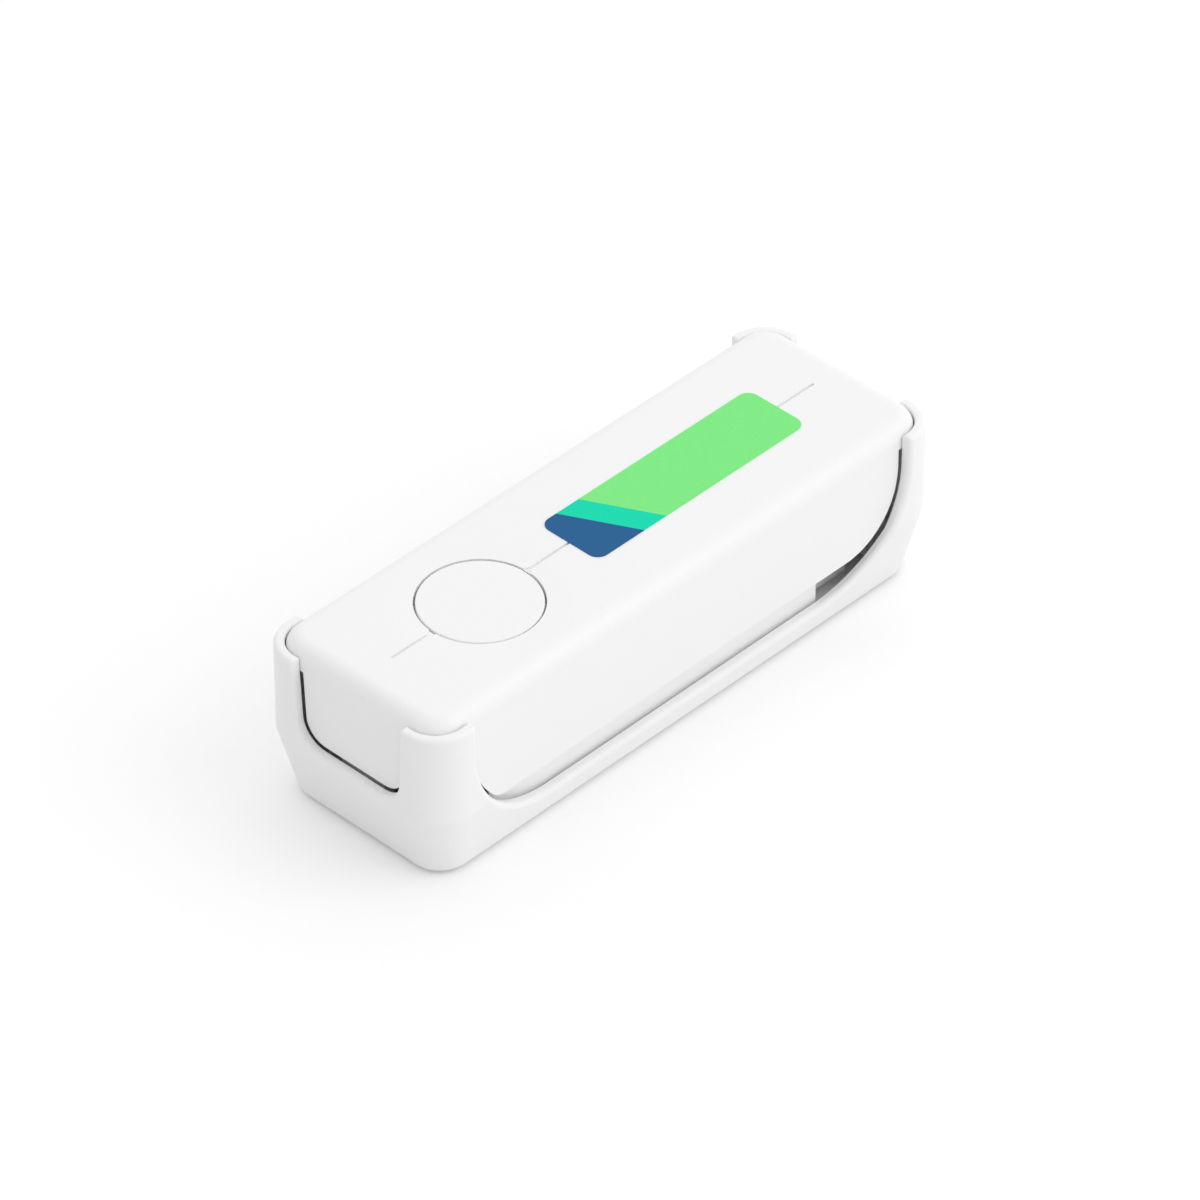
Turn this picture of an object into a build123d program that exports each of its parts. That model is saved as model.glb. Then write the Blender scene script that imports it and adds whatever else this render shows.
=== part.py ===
from build123d import *
from math import atan2, degrees, radians, tan
import os

os.makedirs("parts", exist_ok=True)

# A hand-held smart button: a white stick-shaped case with one round push button.
# Sizes are in millimetres. The origin is on the surface the case stands on, under its middle.
# +Z is up, and +Y runs along the case to the end that holds the charging socket.

# Case as a whole; its length, width and height follow below from what has to fit inside it
corner_radius = 5.9
overrun = 3.0

# Rubber feet
foot_radius = 3.4
foot_thickness = 1.0
foot_proud = 0.5
foot_edge_radius = 0.2
foot_from_side = 7.8
foot_from_end = 11.0
foot_clearance = 0.1

# Lower case: a tray with a tapered foot, four scooped openings and four corner posts
case_wall = 1.5
floor_thickness = 1.6
taper_height = 10.6
side_taper_inset = 2.1
end_taper_inset = 2.6
foot_corner_radius = 4.6
bottom_edge_radius = 0.9
post_drop = 1.3
post_edge_radius = 0.4
end_post_width = 5.4
end_post_lean = 3
end_opening_corner = 4.0
end_ledge_height = 11.4
near_post_length = 7.6
far_post_length = 6.7
side_opening_corner = 16.0
side_ledge_height = 4.0
opening_edge_radius = 0.7
saddle_thickness = 1.4
saddle_width = 19.0
saddle_height = 4.6
saddle_spacing = 18.0
saddle_count = 3
pocket_width = 9.0
pocket_height = 2.2
pocket_depth = 0.95

# Upper cover
cover_gap = 0.15
cover_wall = 1.4
top_thickness = 1.6
top_edge_radius = 2.4
corner_skirt_height = 22.5
skirt_gap = 0.5
side_skirt_height = 8.6
near_skirt_corner = 3.0
far_skirt_corner = 10.0
groove_width = 0.45
groove_depth = 0.35
groove_from_near_end = 8.7
groove_from_far_end = 7.9
groove_flare = 0.6
flare_angle = 60
dish_radius = 12.0
dish_depth = 0.12
boss_radius = 2.3
boss_pilot_radius = 0.8
boss_height = 2.95
screw_from_bore = 1.45
screw_from_end = 7.75
collar_wall = 1.0
collar_drop = 1.7
key_width = 1.6
key_reach = 0.9
key_clearance = 0.12
tongue_width = 8.0
tongue_thickness = 1.2
tongue_top_height = 16.4
tongue_bottom_height = 6.2
hook_reach = 1.1
hook_height = 1.4
window_corner = 0.9
window_clearance = 0.35
window_flare = 0.45
light_well_radius = 1.6
light_well_depth = 0.9

# Push button
button_from_end = 25.2
button_radius = 8.6
ring_gap = 0.28
button_travel = 0.3
button_edge_radius = 0.2
flange_width = 1.15
flange_thickness = 0.7
flange_play = 0.05
crown_thickness = 1.3
skirt_wall = 1.1
stem_radius = 1.7
rib_width = 0.8
rib_count = 6
stem_play = 0.05

# Label strip
label_width = 10.9
label_length = 40.7
label_from_far_end = 15.25
label_corner = 1.7
label_thickness = 0.12

# Circuit board, screwed up against the cover's bosses
board_thickness = 1.0
board_clearance = 0.5
board_corner = 2.2
screw_hole_radius = 1.15
board_slot_clearance = 0.2

# Cell, an 18650
cell_radius = 9.2
cell_length = 65.0
wrap_thickness = 0.15
wrap_lip = 1.1
can_neck_depth = 0.7
can_neck_height = 2.0
can_neck_below_top = 4.2
can_edge_radius = 0.5
cap_radius = 6.4
cap_nub_radius = 3.6
cap_nub_height = 0.9
cap_plate_thickness = 0.6
nub_taper = 12
seal_width = 1.3
seal_drop = 0.5
cell_floor_gap = 0.35
cell_board_gap = 0.3

# Battery frame
frame_wall = 1.2
frame_recess = 0.35
frame_bottom_height = 2.5
frame_end_clearance = 0.5
rail_from_near_end = 13.0
rail_from_far_end = 21.5
waist_wall = 1.5
bore_clearance = 0.25
rib_thickness = 1.1
rib_spacing = 9.5
rib_pairs = 6
cross_wall_drop = 4.4
ear_radius = 2.35
ear_thickness = 1.6
ear_arm_width = 3.2
ear_gap = 0.5
driver_clearance = 0.25

# Cell contacts
contact_thickness = 0.4
contact_width = 12.0
contact_height = 13.0
contact_corner = 1.5
contact_tab_width = 2.6
contact_tab_x = 6.6
contact_tab_rise = 0.7
dimple_radius = 2.6
dimple_height = 0.5
dimple_taper = 35
spring_length = 2.6
spring_wire_radius = 0.35
spring_base_radius = 4.6
spring_top_radius = 2.8
spring_turns = 2.5

# Insulation sheet
sheet_width = 15.0
sheet_thickness = 0.15
sheet_corner = 1.5
sheet_margin = 2.4
sheet_recess_width = 15.6
sheet_recess_depth = 0.2

# Radio module, under the board's near end
module_thickness = 0.8
module_edge_gap = 0.4
module_frame_gap = 1.4
module_pad_radius = 0.35
module_pad_pitch = 1.5
module_pads = 6
shield_width = 13.4
shield_length = 10.6
shield_height = 1.9
shield_wall = 0.2
shield_corner = 0.6
shield_margin = 0.6
module_side_margin = 1.3
antenna_thickness = 0.1
antenna_strip = 0.5
antenna_pitch = 1.8
antenna_reach = 3.2
antenna_folds = 6
antenna_gap = 1.6

# Tactile switch, on top of the board under the push button
switch_size = 5.2
switch_base_height = 1.2
switch_plate_thickness = 0.2
switch_corner = 0.5
switch_well_radius = 1.9
switch_floor = 0.3
switch_lead_width = 0.7
switch_lead_length = 0.7
switch_lead_thickness = 0.2
plunger_radius = 1.0
plunger_foot_radius = 1.5
plunger_foot_height = 0.4
plunger_clearance = 0.1
dome_radius = 1.7
dome_height = 0.35
dome_thickness = 0.08
dome_play = 0.02

# Charging socket, sunk into the board's far end
socket_width = 7.5
socket_height = 2.5
socket_length = 5.6
socket_wall = 0.3
socket_chamfer = 0.8
socket_recess = 0.5
socket_wing_width = 0.8
socket_wing_length = 2.2
socket_wing_thickness = 0.3
socket_tongue_width = 3.7
socket_tongue_thickness = 0.65
socket_tongue_short = 0.9
socket_back_thickness = 1.0
socket_pin_width = 0.4
socket_pin_pitch = 0.65
socket_pin_thickness = 0.1
socket_pins = 5

# Lamps and chips on the board
lamp_length = 2.0
lamp_width = 1.4
lamp_height = 0.5
lamp_lens_height = 0.35
lamp_lens_margin = 0.25
lamp_lens_bevel = 0.15
status_lamp_from_button = 15.2
charge_lamp_x = 7.2
charge_lamp_from_end = 12.5
charger_size = 3.2
charger_height = 0.9
charger_x = 5.4
charger_from_end = 18.0
regulator_width = 1.7
regulator_length = 3.0
regulator_height = 1.1
regulator_x = -5.6
regulator_from_end = 18.5
chip_chamfer = 0.25
chip_lead_width = 0.4
chip_lead_length = 0.5
chip_lead_thickness = 0.2
chip_lead_pitch = 0.95
chip_leads = 3
capacitor_length = 2.0
capacitor_width = 1.25
capacitor_height = 0.8
capacitor_edge = 0.15
capacitor_pitch_x = 4.4
capacitor_pitch_y = 3.4
capacitor_x = 6.2
capacitors_from_end = 28.5
capacitor_columns = 2
capacitor_rows = 4
resistor_length = 1.6
resistor_width = 0.8
resistor_height = 0.45
resistor_edge = 0.1
resistor_pitch_x = 3.0
resistor_pitch_y = 2.2
resistor_x = -6.0
resistors_from_end = 28.5
resistor_columns = 3
resistor_rows = 5

# Screws
screw_head_radius = 1.9
screw_head_height = 1.3
screw_length = 5.0
screw_tip_bevel = 0.4
screw_slot_width = 0.45
screw_slot_depth = 0.6
screw_slot_length = 2.2

# Width: the cell's bore with a screw ear on each side of it
bore_radius = cell_radius + bore_clearance
waist_width = 2 * (bore_radius + waist_wall)
screw_spacing_x = 2 * (bore_radius + screw_from_bore)
room_width = screw_spacing_x + 2 * (ear_radius + ear_gap)
cover_width = room_width + 2 * cover_wall
case_width = cover_width + 2 * (cover_gap + case_wall)
frame_width = room_width - 2 * frame_recess

# Length: the radio module's bay, the cell between its contacts, and the snap tongue at the far end
module_width = shield_width + 2 * module_side_margin
module_length = shield_margin + antenna_reach + antenna_gap + shield_length + shield_margin
radio_bay_length = board_clearance + module_edge_gap + module_length + module_frame_gap
contacts_length = dimple_height + spring_length + 2 * contact_thickness
cell_bay_length = cell_length + contacts_length + 2 * frame_wall
room_length = radio_bay_length + cell_bay_length + frame_end_clearance + tongue_thickness
cover_length = room_length + 2 * cover_wall
case_length = cover_length + 2 * (cover_gap + case_wall)
screw_spacing_y = room_length - 2 * screw_from_end
frame_end_y = room_length / 2 - tongue_thickness - frame_end_clearance
far_contact_y = frame_end_y - frame_wall
cell_far_y = far_contact_y - contact_thickness - spring_length
cell_near_y = cell_far_y - cell_length
near_contact_y = cell_near_y - dimple_height - contact_thickness
cell_middle_y = (cell_far_y + cell_near_y) / 2
end_y = case_length / 2
button_y = button_from_end - end_y

# Height: floor, cell, board, screw bosses and top, one above the other
bottom_z = foot_proud
floor_z = bottom_z + floor_thickness
cell_z = floor_z + cell_floor_gap + cell_radius
board_bottom_z = cell_z + cell_radius + cell_board_gap
board_top_z = board_bottom_z + board_thickness
underside_z = board_top_z + boss_height
top_z = underside_z + top_thickness
case_height = top_z - bottom_z
taper_top_z = bottom_z + taper_height
post_top_z = top_z - post_drop
frame_bottom_z = bottom_z + frame_bottom_height
side_ledge_z = bottom_z + side_ledge_height
end_ledge_z = bottom_z + end_ledge_height

# Fits round the button, and the outline of the board
cover_corner = corner_radius - case_wall - cover_gap
room_corner = cover_corner - cover_wall
hole_radius = button_radius + ring_gap
flange_radius = button_radius + flange_width
collar_radius = flange_radius + key_clearance
board_width = room_width - 2 * board_clearance
board_length = room_length - 2 * board_clearance


def taper_share(height):
    # share of the foot's full inset that is left at a height over the case's bottom
    return max(0, 1 - height / taper_height)


# Lower case
foot_spacing_x = case_width - 2 * foot_from_side
foot_spacing_y = case_length - 2 * foot_from_end
foot_width = case_width - 2 * side_taper_inset
foot_length = case_length - 2 * end_taper_inset
inner_foot_width = case_width - 2 * (side_taper_inset * taper_share(floor_thickness) + case_wall)
inner_foot_length = case_length - 2 * (end_taper_inset * taper_share(floor_thickness) + case_wall)
side_opening_length = case_length - near_post_length - far_post_length
end_opening_width = case_width - 2 * (end_post_width + (post_top_z - end_ledge_z) * tan(radians(end_post_lean)))
saddle_ys = [cell_middle_y + saddle_spacing * (i - (saddle_count - 1) / 2) for i in range(saddle_count)]
pocket_z = bottom_z + tongue_bottom_height - (pocket_height - hook_height) / 2
pocket_face_y = end_y - case_wall - end_taper_inset * taper_share(pocket_z - bottom_z)

# outlines of the scooped openings: the long ones have wide round corners, the short ones lean
with BuildSketch(Plane.YZ) as side_opening:
    with Locations(((near_post_length - far_post_length) / 2, side_ledge_z)):
        Rectangle(side_opening_length, case_height, align=(Align.CENTER, Align.MIN))
    fillet(side_opening.vertices().group_by(Axis.Y)[0], radius=side_opening_corner)

with BuildSketch(Plane.XZ) as end_opening:
    with Locations((0, end_ledge_z)):
        Trapezoid(end_opening_width, case_height, 90 + end_post_lean, align=(Align.CENTER, Align.MIN))
    fillet(end_opening.vertices().group_by(Axis.Y)[0], radius=end_opening_corner)


def is_outer_rim(edge):
    # true for an edge on the outside of the case, other than the line where the taper starts
    middle = edge.center()
    share = taper_share(middle.Z - bottom_z)
    reach = case_wall / 4
    beside = abs(middle.X) > case_width / 2 - side_taper_inset * share - reach
    beyond = abs(middle.Y) > case_length / 2 - end_taper_inset * share - reach
    return (beside or beyond) and abs(middle.Z - taper_top_z) > reach


with BuildPart() as lower_case:
    with BuildSketch(Plane.XY.offset(bottom_z)):
        RectangleRounded(foot_width, foot_length, foot_corner_radius)
    with BuildSketch(Plane.XY.offset(taper_top_z)):
        RectangleRounded(case_width, case_length, corner_radius)
    loft(ruled=True)
    with BuildSketch(Plane.XY.offset(taper_top_z)):
        RectangleRounded(case_width, case_length, corner_radius)
    extrude(amount=post_top_z - taper_top_z)
    fillet(lower_case.faces().sort_by(Axis.Z)[0].edges(), radius=bottom_edge_radius)
    # the inside follows the outside, one wall further in
    with BuildSketch(Plane.XY.offset(floor_z)):
        RectangleRounded(inner_foot_width, inner_foot_length, foot_corner_radius - case_wall)
    with BuildSketch(Plane.XY.offset(taper_top_z)):
        RectangleRounded(case_width - 2 * case_wall, case_length - 2 * case_wall, corner_radius - case_wall)
    loft(ruled=True, mode=Mode.SUBTRACT)
    with BuildSketch(Plane.XY.offset(taper_top_z)):
        RectangleRounded(case_width - 2 * case_wall, case_length - 2 * case_wall, corner_radius - case_wall)
    extrude(amount=case_height, mode=Mode.SUBTRACT)
    # the four openings, softly rounded along their outer rims
    extrude(to_extrude=side_opening.sketch, amount=case_width, both=True, mode=Mode.SUBTRACT)
    side_rims = lower_case.edges(Select.LAST).filter_by(is_outer_rim)
    extrude(to_extrude=end_opening.sketch, amount=case_length, both=True, mode=Mode.SUBTRACT)
    end_rims = lower_case.edges(Select.LAST).filter_by(is_outer_rim)
    fillet(side_rims + end_rims, radius=opening_edge_radius)
    fillet(lower_case.faces().group_by(Axis.Z)[-1].edges(), radius=post_edge_radius)
    # saddles that carry the cell
    for saddle_y in saddle_ys:
        with BuildSketch(Plane.XZ.offset(-saddle_y)):
            with Locations((0, floor_z)):
                Rectangle(saddle_width, saddle_height, align=(Align.CENTER, Align.MIN))
            with Locations((0, cell_z)):
                Circle(bore_radius, mode=Mode.SUBTRACT)
        extrude(amount=saddle_thickness / 2, both=True)
    # pockets for the cover's snap hooks and for the feet
    for end in (-1, 1):
        with BuildSketch(Plane.XZ.offset(-end * pocket_face_y)):
            with Locations((0, pocket_z)):
                Rectangle(pocket_width, pocket_height, align=(Align.CENTER, Align.MIN))
        extrude(amount=-end * pocket_depth, mode=Mode.SUBTRACT)
    with BuildSketch(Plane.XY.offset(bottom_z)):
        with GridLocations(foot_spacing_x, foot_spacing_y, 2, 2):
            Circle(foot_radius + foot_clearance)
    extrude(amount=foot_thickness - foot_proud, mode=Mode.SUBTRACT)
lower_case.part.label = "lower_case"
export_step(lower_case.part, "parts/lower_case.step")

# Rubber feet
with BuildPart() as rubber_feet:
    with BuildSketch():
        with GridLocations(foot_spacing_x, foot_spacing_y, 2, 2):
            Circle(foot_radius)
    extrude(amount=foot_thickness)
    fillet(rubber_feet.edges().group_by(Axis.Z)[0], radius=foot_edge_radius)
rubber_feet.part.label = "rubber_feet"
export_step(rubber_feet.part, "parts/rubber_feet.step")

# Upper cover
corner_skirt_z = bottom_z + corner_skirt_height
side_skirt_z = bottom_z + side_skirt_height
tongue_bottom_z = bottom_z + tongue_bottom_height
tongue_top_z = bottom_z + tongue_top_height
socket_z = board_bottom_z + board_thickness / 2
window_width = socket_width + 2 * window_clearance
window_height = socket_height + 2 * window_clearance
groove_length = case_length - groove_from_near_end - groove_from_far_end
groove_centre_y = (groove_from_near_end - groove_from_far_end) / 2
flare_width = groove_width + 2 * groove_flare
status_lamp_y = button_y + status_lamp_from_button

# skirts that hang down into the four openings, one gap inside their outlines
with BuildPart() as cover_skirts:
    with BuildSketch(Plane.YZ) as side_skirt:
        add(side_opening.sketch_local)
        offset(amount=-skirt_gap, mode=Mode.REPLACE)
        with Locations((0, side_skirt_z)):
            Rectangle(case_length, case_height, align=(Align.CENTER, Align.MAX), mode=Mode.SUBTRACT)
        fillet(side_skirt.vertices().group_by(Axis.Y)[0].sort_by(Axis.X)[0], radius=near_skirt_corner)
        fillet(side_skirt.vertices().group_by(Axis.Y)[0].sort_by(Axis.X)[-1], radius=far_skirt_corner)
    extrude(amount=cover_width / 2, both=True)
    with BuildSketch(Plane.XZ):
        add(end_opening.sketch_local)
        offset(amount=-skirt_gap, mode=Mode.REPLACE)
    extrude(amount=cover_length / 2, both=True)
    with BuildSketch(Plane.XY):
        RectangleRounded(cover_width, cover_length, cover_corner)
        RectangleRounded(room_width, room_length, room_corner, mode=Mode.SUBTRACT)
    extrude(amount=corner_skirt_z, mode=Mode.INTERSECT)

with BuildPart() as upper_cover:
    with BuildSketch(Plane.XY.offset(corner_skirt_z)):
        RectangleRounded(cover_width, cover_length, cover_corner)
    extrude(amount=top_z - corner_skirt_z)
    fillet(upper_cover.faces().sort_by(Axis.Z)[-1].edges(), radius=top_edge_radius)
    with BuildSketch(Plane.XY.offset(corner_skirt_z)):
        RectangleRounded(room_width, room_length, room_corner)
    extrude(amount=underside_z - corner_skirt_z, mode=Mode.SUBTRACT)
    add(cover_skirts.part)
    # shallow dish round the button, and the hole for it
    with BuildSketch(Plane.XY.offset(top_z)):
        with Locations((0, button_y)):
            Circle(dish_radius)
    with BuildSketch(Plane.XY.offset(top_z - dish_depth)):
        with Locations((0, button_y)):
            Circle(hole_radius)
    loft(mode=Mode.SUBTRACT)
    # collar that guides the button's flange, with a slot for its key
    with BuildSketch(Plane.XY.offset(underside_z - collar_drop)):
        with Locations((0, button_y)):
            Circle(collar_radius + collar_wall)
    extrude(amount=collar_drop)
    with BuildSketch(Plane.XY.offset(underside_z - collar_drop)):
        with Locations((0, button_y)):
            Circle(collar_radius)
        with Locations((0, button_y + collar_radius)):
            Rectangle(key_width + 2 * key_clearance, 2 * (collar_wall + key_clearance))
    extrude(amount=collar_drop, mode=Mode.SUBTRACT)
    with BuildSketch(Plane.XY.offset(underside_z)):
        with Locations((0, button_y)):
            Circle(hole_radius)
    extrude(amount=top_thickness, mode=Mode.SUBTRACT)
    # centre groove, flared where it meets the ring
    with BuildSketch(Plane.XY.offset(top_z)):
        with Locations((0, groove_centre_y)):
            SlotOverall(groove_length, groove_width, rotation=90)
        for flare_side in (-1, 1):
            with Locations((0, button_y + flare_side * (hole_radius + groove_flare / 2))):
                Trapezoid(flare_width, 2 * groove_flare, flare_angle, rotation=90 - 90 * flare_side)
    extrude(amount=-groove_depth, mode=Mode.SUBTRACT)
    # bosses that carry the board and the frame
    with BuildSketch(Plane.XY.offset(board_top_z)):
        with GridLocations(screw_spacing_x, screw_spacing_y, 2, 2):
            Circle(boss_radius)
    extrude(amount=boss_height)
    with BuildSketch(Plane.XY.offset(board_top_z)):
        with GridLocations(screw_spacing_x, screw_spacing_y, 2, 2):
            Circle(boss_pilot_radius)
    extrude(amount=boss_height, mode=Mode.SUBTRACT)
    # snap tongues at both ends, each with a hook that bites into the lower case
    for end in (-1, 1):
        face_y = end * room_length / 2
        with BuildSketch(Plane.YZ):
            with BuildLine():
                Polyline(
                    (face_y, tongue_top_z),
                    (face_y - end * tongue_thickness, tongue_top_z),
                    (face_y - end * tongue_thickness, tongue_bottom_z),
                    (face_y, tongue_bottom_z),
                    (face_y + end * hook_reach, tongue_bottom_z + hook_height),
                    (face_y, tongue_bottom_z + hook_height),
                    close=True,
                )
            make_face()
        extrude(amount=tongue_width / 2, both=True)
    # window for the charging socket, flared towards the outside
    with BuildSketch(Plane.XZ.offset(-room_length / 2)):
        with Locations((0, socket_z)):
            RectangleRounded(window_width, window_height, window_corner)
    extrude(amount=-cover_wall, mode=Mode.SUBTRACT)
    window_rim = upper_cover.edges().filter_by_position(
        Axis.Y, cover_length / 2 - window_flare, cover_length / 2 + window_flare
    ).filter_by_position(Axis.Z, socket_z - window_height, socket_z + window_height).filter_by_position(
        Axis.X, -window_width, window_width
    )
    chamfer(window_rim.group_by(Axis.Y)[-1], length=window_flare)
    # thin spot over the status lamp, so that its light shows through the top
    with BuildSketch(Plane.XY.offset(underside_z)):
        with Locations((0, status_lamp_y)):
            Circle(light_well_radius)
    extrude(amount=light_well_depth, mode=Mode.SUBTRACT)
upper_cover.part.label = "upper_cover"
export_step(upper_cover.part, "parts/upper_cover.step")

# Push button cap: a flush crown on a skirt with a holding flange, a stem and ribs between them
cap_bottom_z = underside_z - flange_play - flange_thickness
hollow_radius = button_radius - skirt_wall
stem_bottom_z = board_top_z + switch_base_height + switch_plate_thickness + button_travel + stem_play

with BuildPart() as button_cap:
    with BuildSketch(Plane.XY.offset(cap_bottom_z)):
        with Locations((0, button_y)):
            Circle(flange_radius)
        with Locations((0, button_y + flange_radius)):
            Rectangle(key_width, 2 * key_reach)
    extrude(amount=flange_thickness)
    with BuildSketch(Plane.XY.offset(cap_bottom_z)):
        with Locations((0, button_y)):
            Circle(button_radius)
    extrude(amount=top_z - dish_depth - cap_bottom_z)
    fillet(button_cap.faces().sort_by(Axis.Z)[-1].edges(), radius=button_edge_radius)
    with BuildSketch(Plane.XY.offset(cap_bottom_z)):
        with Locations((0, button_y)):
            Circle(hollow_radius)
            Circle(stem_radius, mode=Mode.SUBTRACT)
            with PolarLocations((hollow_radius + stem_radius) / 2, rib_count):
                Rectangle(hollow_radius - stem_radius + rib_width, rib_width, mode=Mode.SUBTRACT)
    extrude(amount=top_z - crown_thickness - cap_bottom_z, mode=Mode.SUBTRACT)
    with BuildSketch(Plane.XY.offset(stem_bottom_z)):
        with Locations((0, button_y)):
            Circle(stem_radius)
    extrude(amount=top_z - crown_thickness - stem_bottom_z)
button_cap.part.label = "button_cap"
export_step(button_cap.part, "parts/button_cap.step")

# Label strip
label_centre_y = end_y - label_from_far_end - label_length / 2

with BuildPart() as label_film:
    with BuildSketch(Plane.XY.offset(top_z)):
        with Locations((0, label_centre_y)):
            RectangleRounded(label_width, label_length, label_corner)
    extrude(amount=label_thickness)
label_film.part.label = "label_film"
export_step(label_film.part, "parts/label_film.step")

# Circuit board
slot_width = contact_tab_width + 2 * board_slot_clearance
slot_length = contact_thickness + 2 * board_slot_clearance
near_tab_y = near_contact_y + contact_thickness / 2
far_tab_y = far_contact_y - contact_thickness / 2
socket_mouth_y = cover_length / 2 - socket_recess
socket_back_y = socket_mouth_y - socket_length

with BuildPart() as main_board:
    with BuildSketch(Plane.XY.offset(board_bottom_z)):
        RectangleRounded(board_width, board_length, board_corner)
        with GridLocations(screw_spacing_x, screw_spacing_y, 2, 2):
            Circle(screw_hole_radius, mode=Mode.SUBTRACT)
        with Locations((contact_tab_x, near_tab_y), (-contact_tab_x, far_tab_y)):
            Rectangle(slot_width, slot_length, mode=Mode.SUBTRACT)
        with Locations((0, socket_back_y - board_slot_clearance)):
            Rectangle(
                socket_width + 2 * board_slot_clearance,
                socket_length + overrun,
                align=(Align.CENTER, Align.MIN),
                mode=Mode.SUBTRACT,
            )
    extrude(amount=board_thickness)
main_board.part.label = "main_board"
export_step(main_board.part, "parts/main_board.step")

# Insulation sheet, stuck under the board over the cell
with BuildPart() as insulation_sheet:
    with BuildSketch(Plane.XY.offset(board_bottom_z - sheet_thickness)):
        with Locations((0, cell_middle_y)):
            RectangleRounded(sheet_width, cell_length - 2 * sheet_margin, sheet_corner)
    extrude(amount=sheet_thickness)
insulation_sheet.part.label = "insulation_sheet"
export_step(insulation_sheet.part, "parts/insulation_sheet.step")

# Battery frame: side rails, narrower waist at the far end, end walls, ribs and screw ears
frame_top_z = board_bottom_z
frame_height = frame_top_z - frame_bottom_z
cross_wall_top_z = frame_top_z - cross_wall_drop
near_wall_y = near_contact_y - frame_wall / 2
ear_y = screw_spacing_y / 2
rail_near_y = rail_from_near_end - end_y
rail_far_y = end_y - rail_from_far_end
rail_length = rail_far_y - rail_near_y
waist_length = frame_end_y - rail_far_y
first_rib_y = cell_middle_y - rib_spacing * (rib_pairs - 1) / 2

with BuildPart() as battery_frame:
    with BuildSketch(Plane.XY.offset(frame_bottom_z)):
        with Locations((0, (rail_near_y + rail_far_y) / 2)):
            Rectangle(frame_width, rail_length)
            Rectangle(frame_width - 2 * frame_wall, rail_length - 2 * frame_wall, mode=Mode.SUBTRACT)
        with Locations((0, rail_far_y - frame_wall)):
            Rectangle(waist_width, waist_length + frame_wall, align=(Align.CENTER, Align.MIN))
            Rectangle(
                2 * bore_radius,
                waist_length,
                align=(Align.CENTER, Align.MIN),
                mode=Mode.SUBTRACT,
            )
        with Locations((0, near_wall_y)):
            Rectangle(frame_width, frame_wall)
    extrude(amount=frame_height)
    # ribs that saddle the upper half of the cell
    for i in range(rib_pairs):
        rib_y = first_rib_y + i * rib_spacing
        rib_width_here = frame_width if rib_y < rail_far_y else waist_width
        with BuildSketch(Plane.XZ.offset(-rib_y)):
            with Locations((0, frame_bottom_z)):
                Rectangle(rib_width_here, frame_height, align=(Align.CENTER, Align.MIN))
            with Locations((0, cell_z)):
                Circle(bore_radius, mode=Mode.SUBTRACT)
            with Locations((0, frame_bottom_z)):
                Rectangle(
                    2 * bore_radius,
                    cell_z - frame_bottom_z,
                    align=(Align.CENTER, Align.MIN),
                    mode=Mode.SUBTRACT,
                )
        extrude(amount=rib_thickness / 2, both=True)
    # recess along the ribs for the insulation sheet
    with BuildSketch(Plane.XY.offset(frame_top_z)):
        with Locations((0, cell_middle_y)):
            Rectangle(sheet_recess_width, cell_length - sheet_margin)
    extrude(amount=-sheet_recess_depth, mode=Mode.SUBTRACT)
    # the near cross wall stays clear of the radio module
    with BuildSketch(Plane.XY.offset(cross_wall_top_z)):
        with Locations((0, rail_near_y)):
            Rectangle(frame_width - 2 * frame_wall, 2 * frame_wall + overrun)
    extrude(amount=cross_wall_drop, mode=Mode.SUBTRACT)
    # the far wall is notched under the charging socket
    with BuildSketch(Plane.XY.offset(socket_z - window_height / 2)):
        with Locations((0, frame_end_y)):
            Rectangle(window_width, 2 * (frame_wall + overrun))
    extrude(amount=window_height, mode=Mode.SUBTRACT)
    # ears, each under one boss of the cover
    with BuildSketch(Plane.XY.offset(frame_top_z - ear_thickness)):
        with GridLocations(screw_spacing_x, screw_spacing_y, 2, 2):
            Circle(ear_radius)
        for side in (-1, 1):
            with Locations((side * (frame_width - ear_arm_width) / 2, -ear_y)):
                Rectangle(ear_arm_width, ear_y + rail_near_y + frame_wall, align=(Align.CENTER, Align.MIN))
    extrude(amount=ear_thickness)
    with BuildSketch(Plane.XY.offset(frame_top_z - ear_thickness)):
        with GridLocations(screw_spacing_x, screw_spacing_y, 2, 2):
            Circle(screw_hole_radius)
    extrude(amount=ear_thickness, mode=Mode.SUBTRACT)
    # driver channels below the ears
    with BuildSketch(Plane.XY.offset(frame_bottom_z)):
        with GridLocations(screw_spacing_x, screw_spacing_y, 2, 2):
            Circle(screw_head_radius + driver_clearance)
    extrude(amount=frame_height - ear_thickness, mode=Mode.SUBTRACT)
    with BuildSketch(Plane.XZ.offset(-cell_middle_y)):
        with Locations((0, cell_z)):
            Circle(bore_radius)
    extrude(amount=cell_length / 2, both=True, mode=Mode.SUBTRACT)
battery_frame.part.label = "battery_frame"
export_step(battery_frame.part, "parts/battery_frame.step")

# Frame screws: pan heads with a cross recess, driven up through ear and board into the bosses
head_z = frame_top_z - ear_thickness

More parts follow.
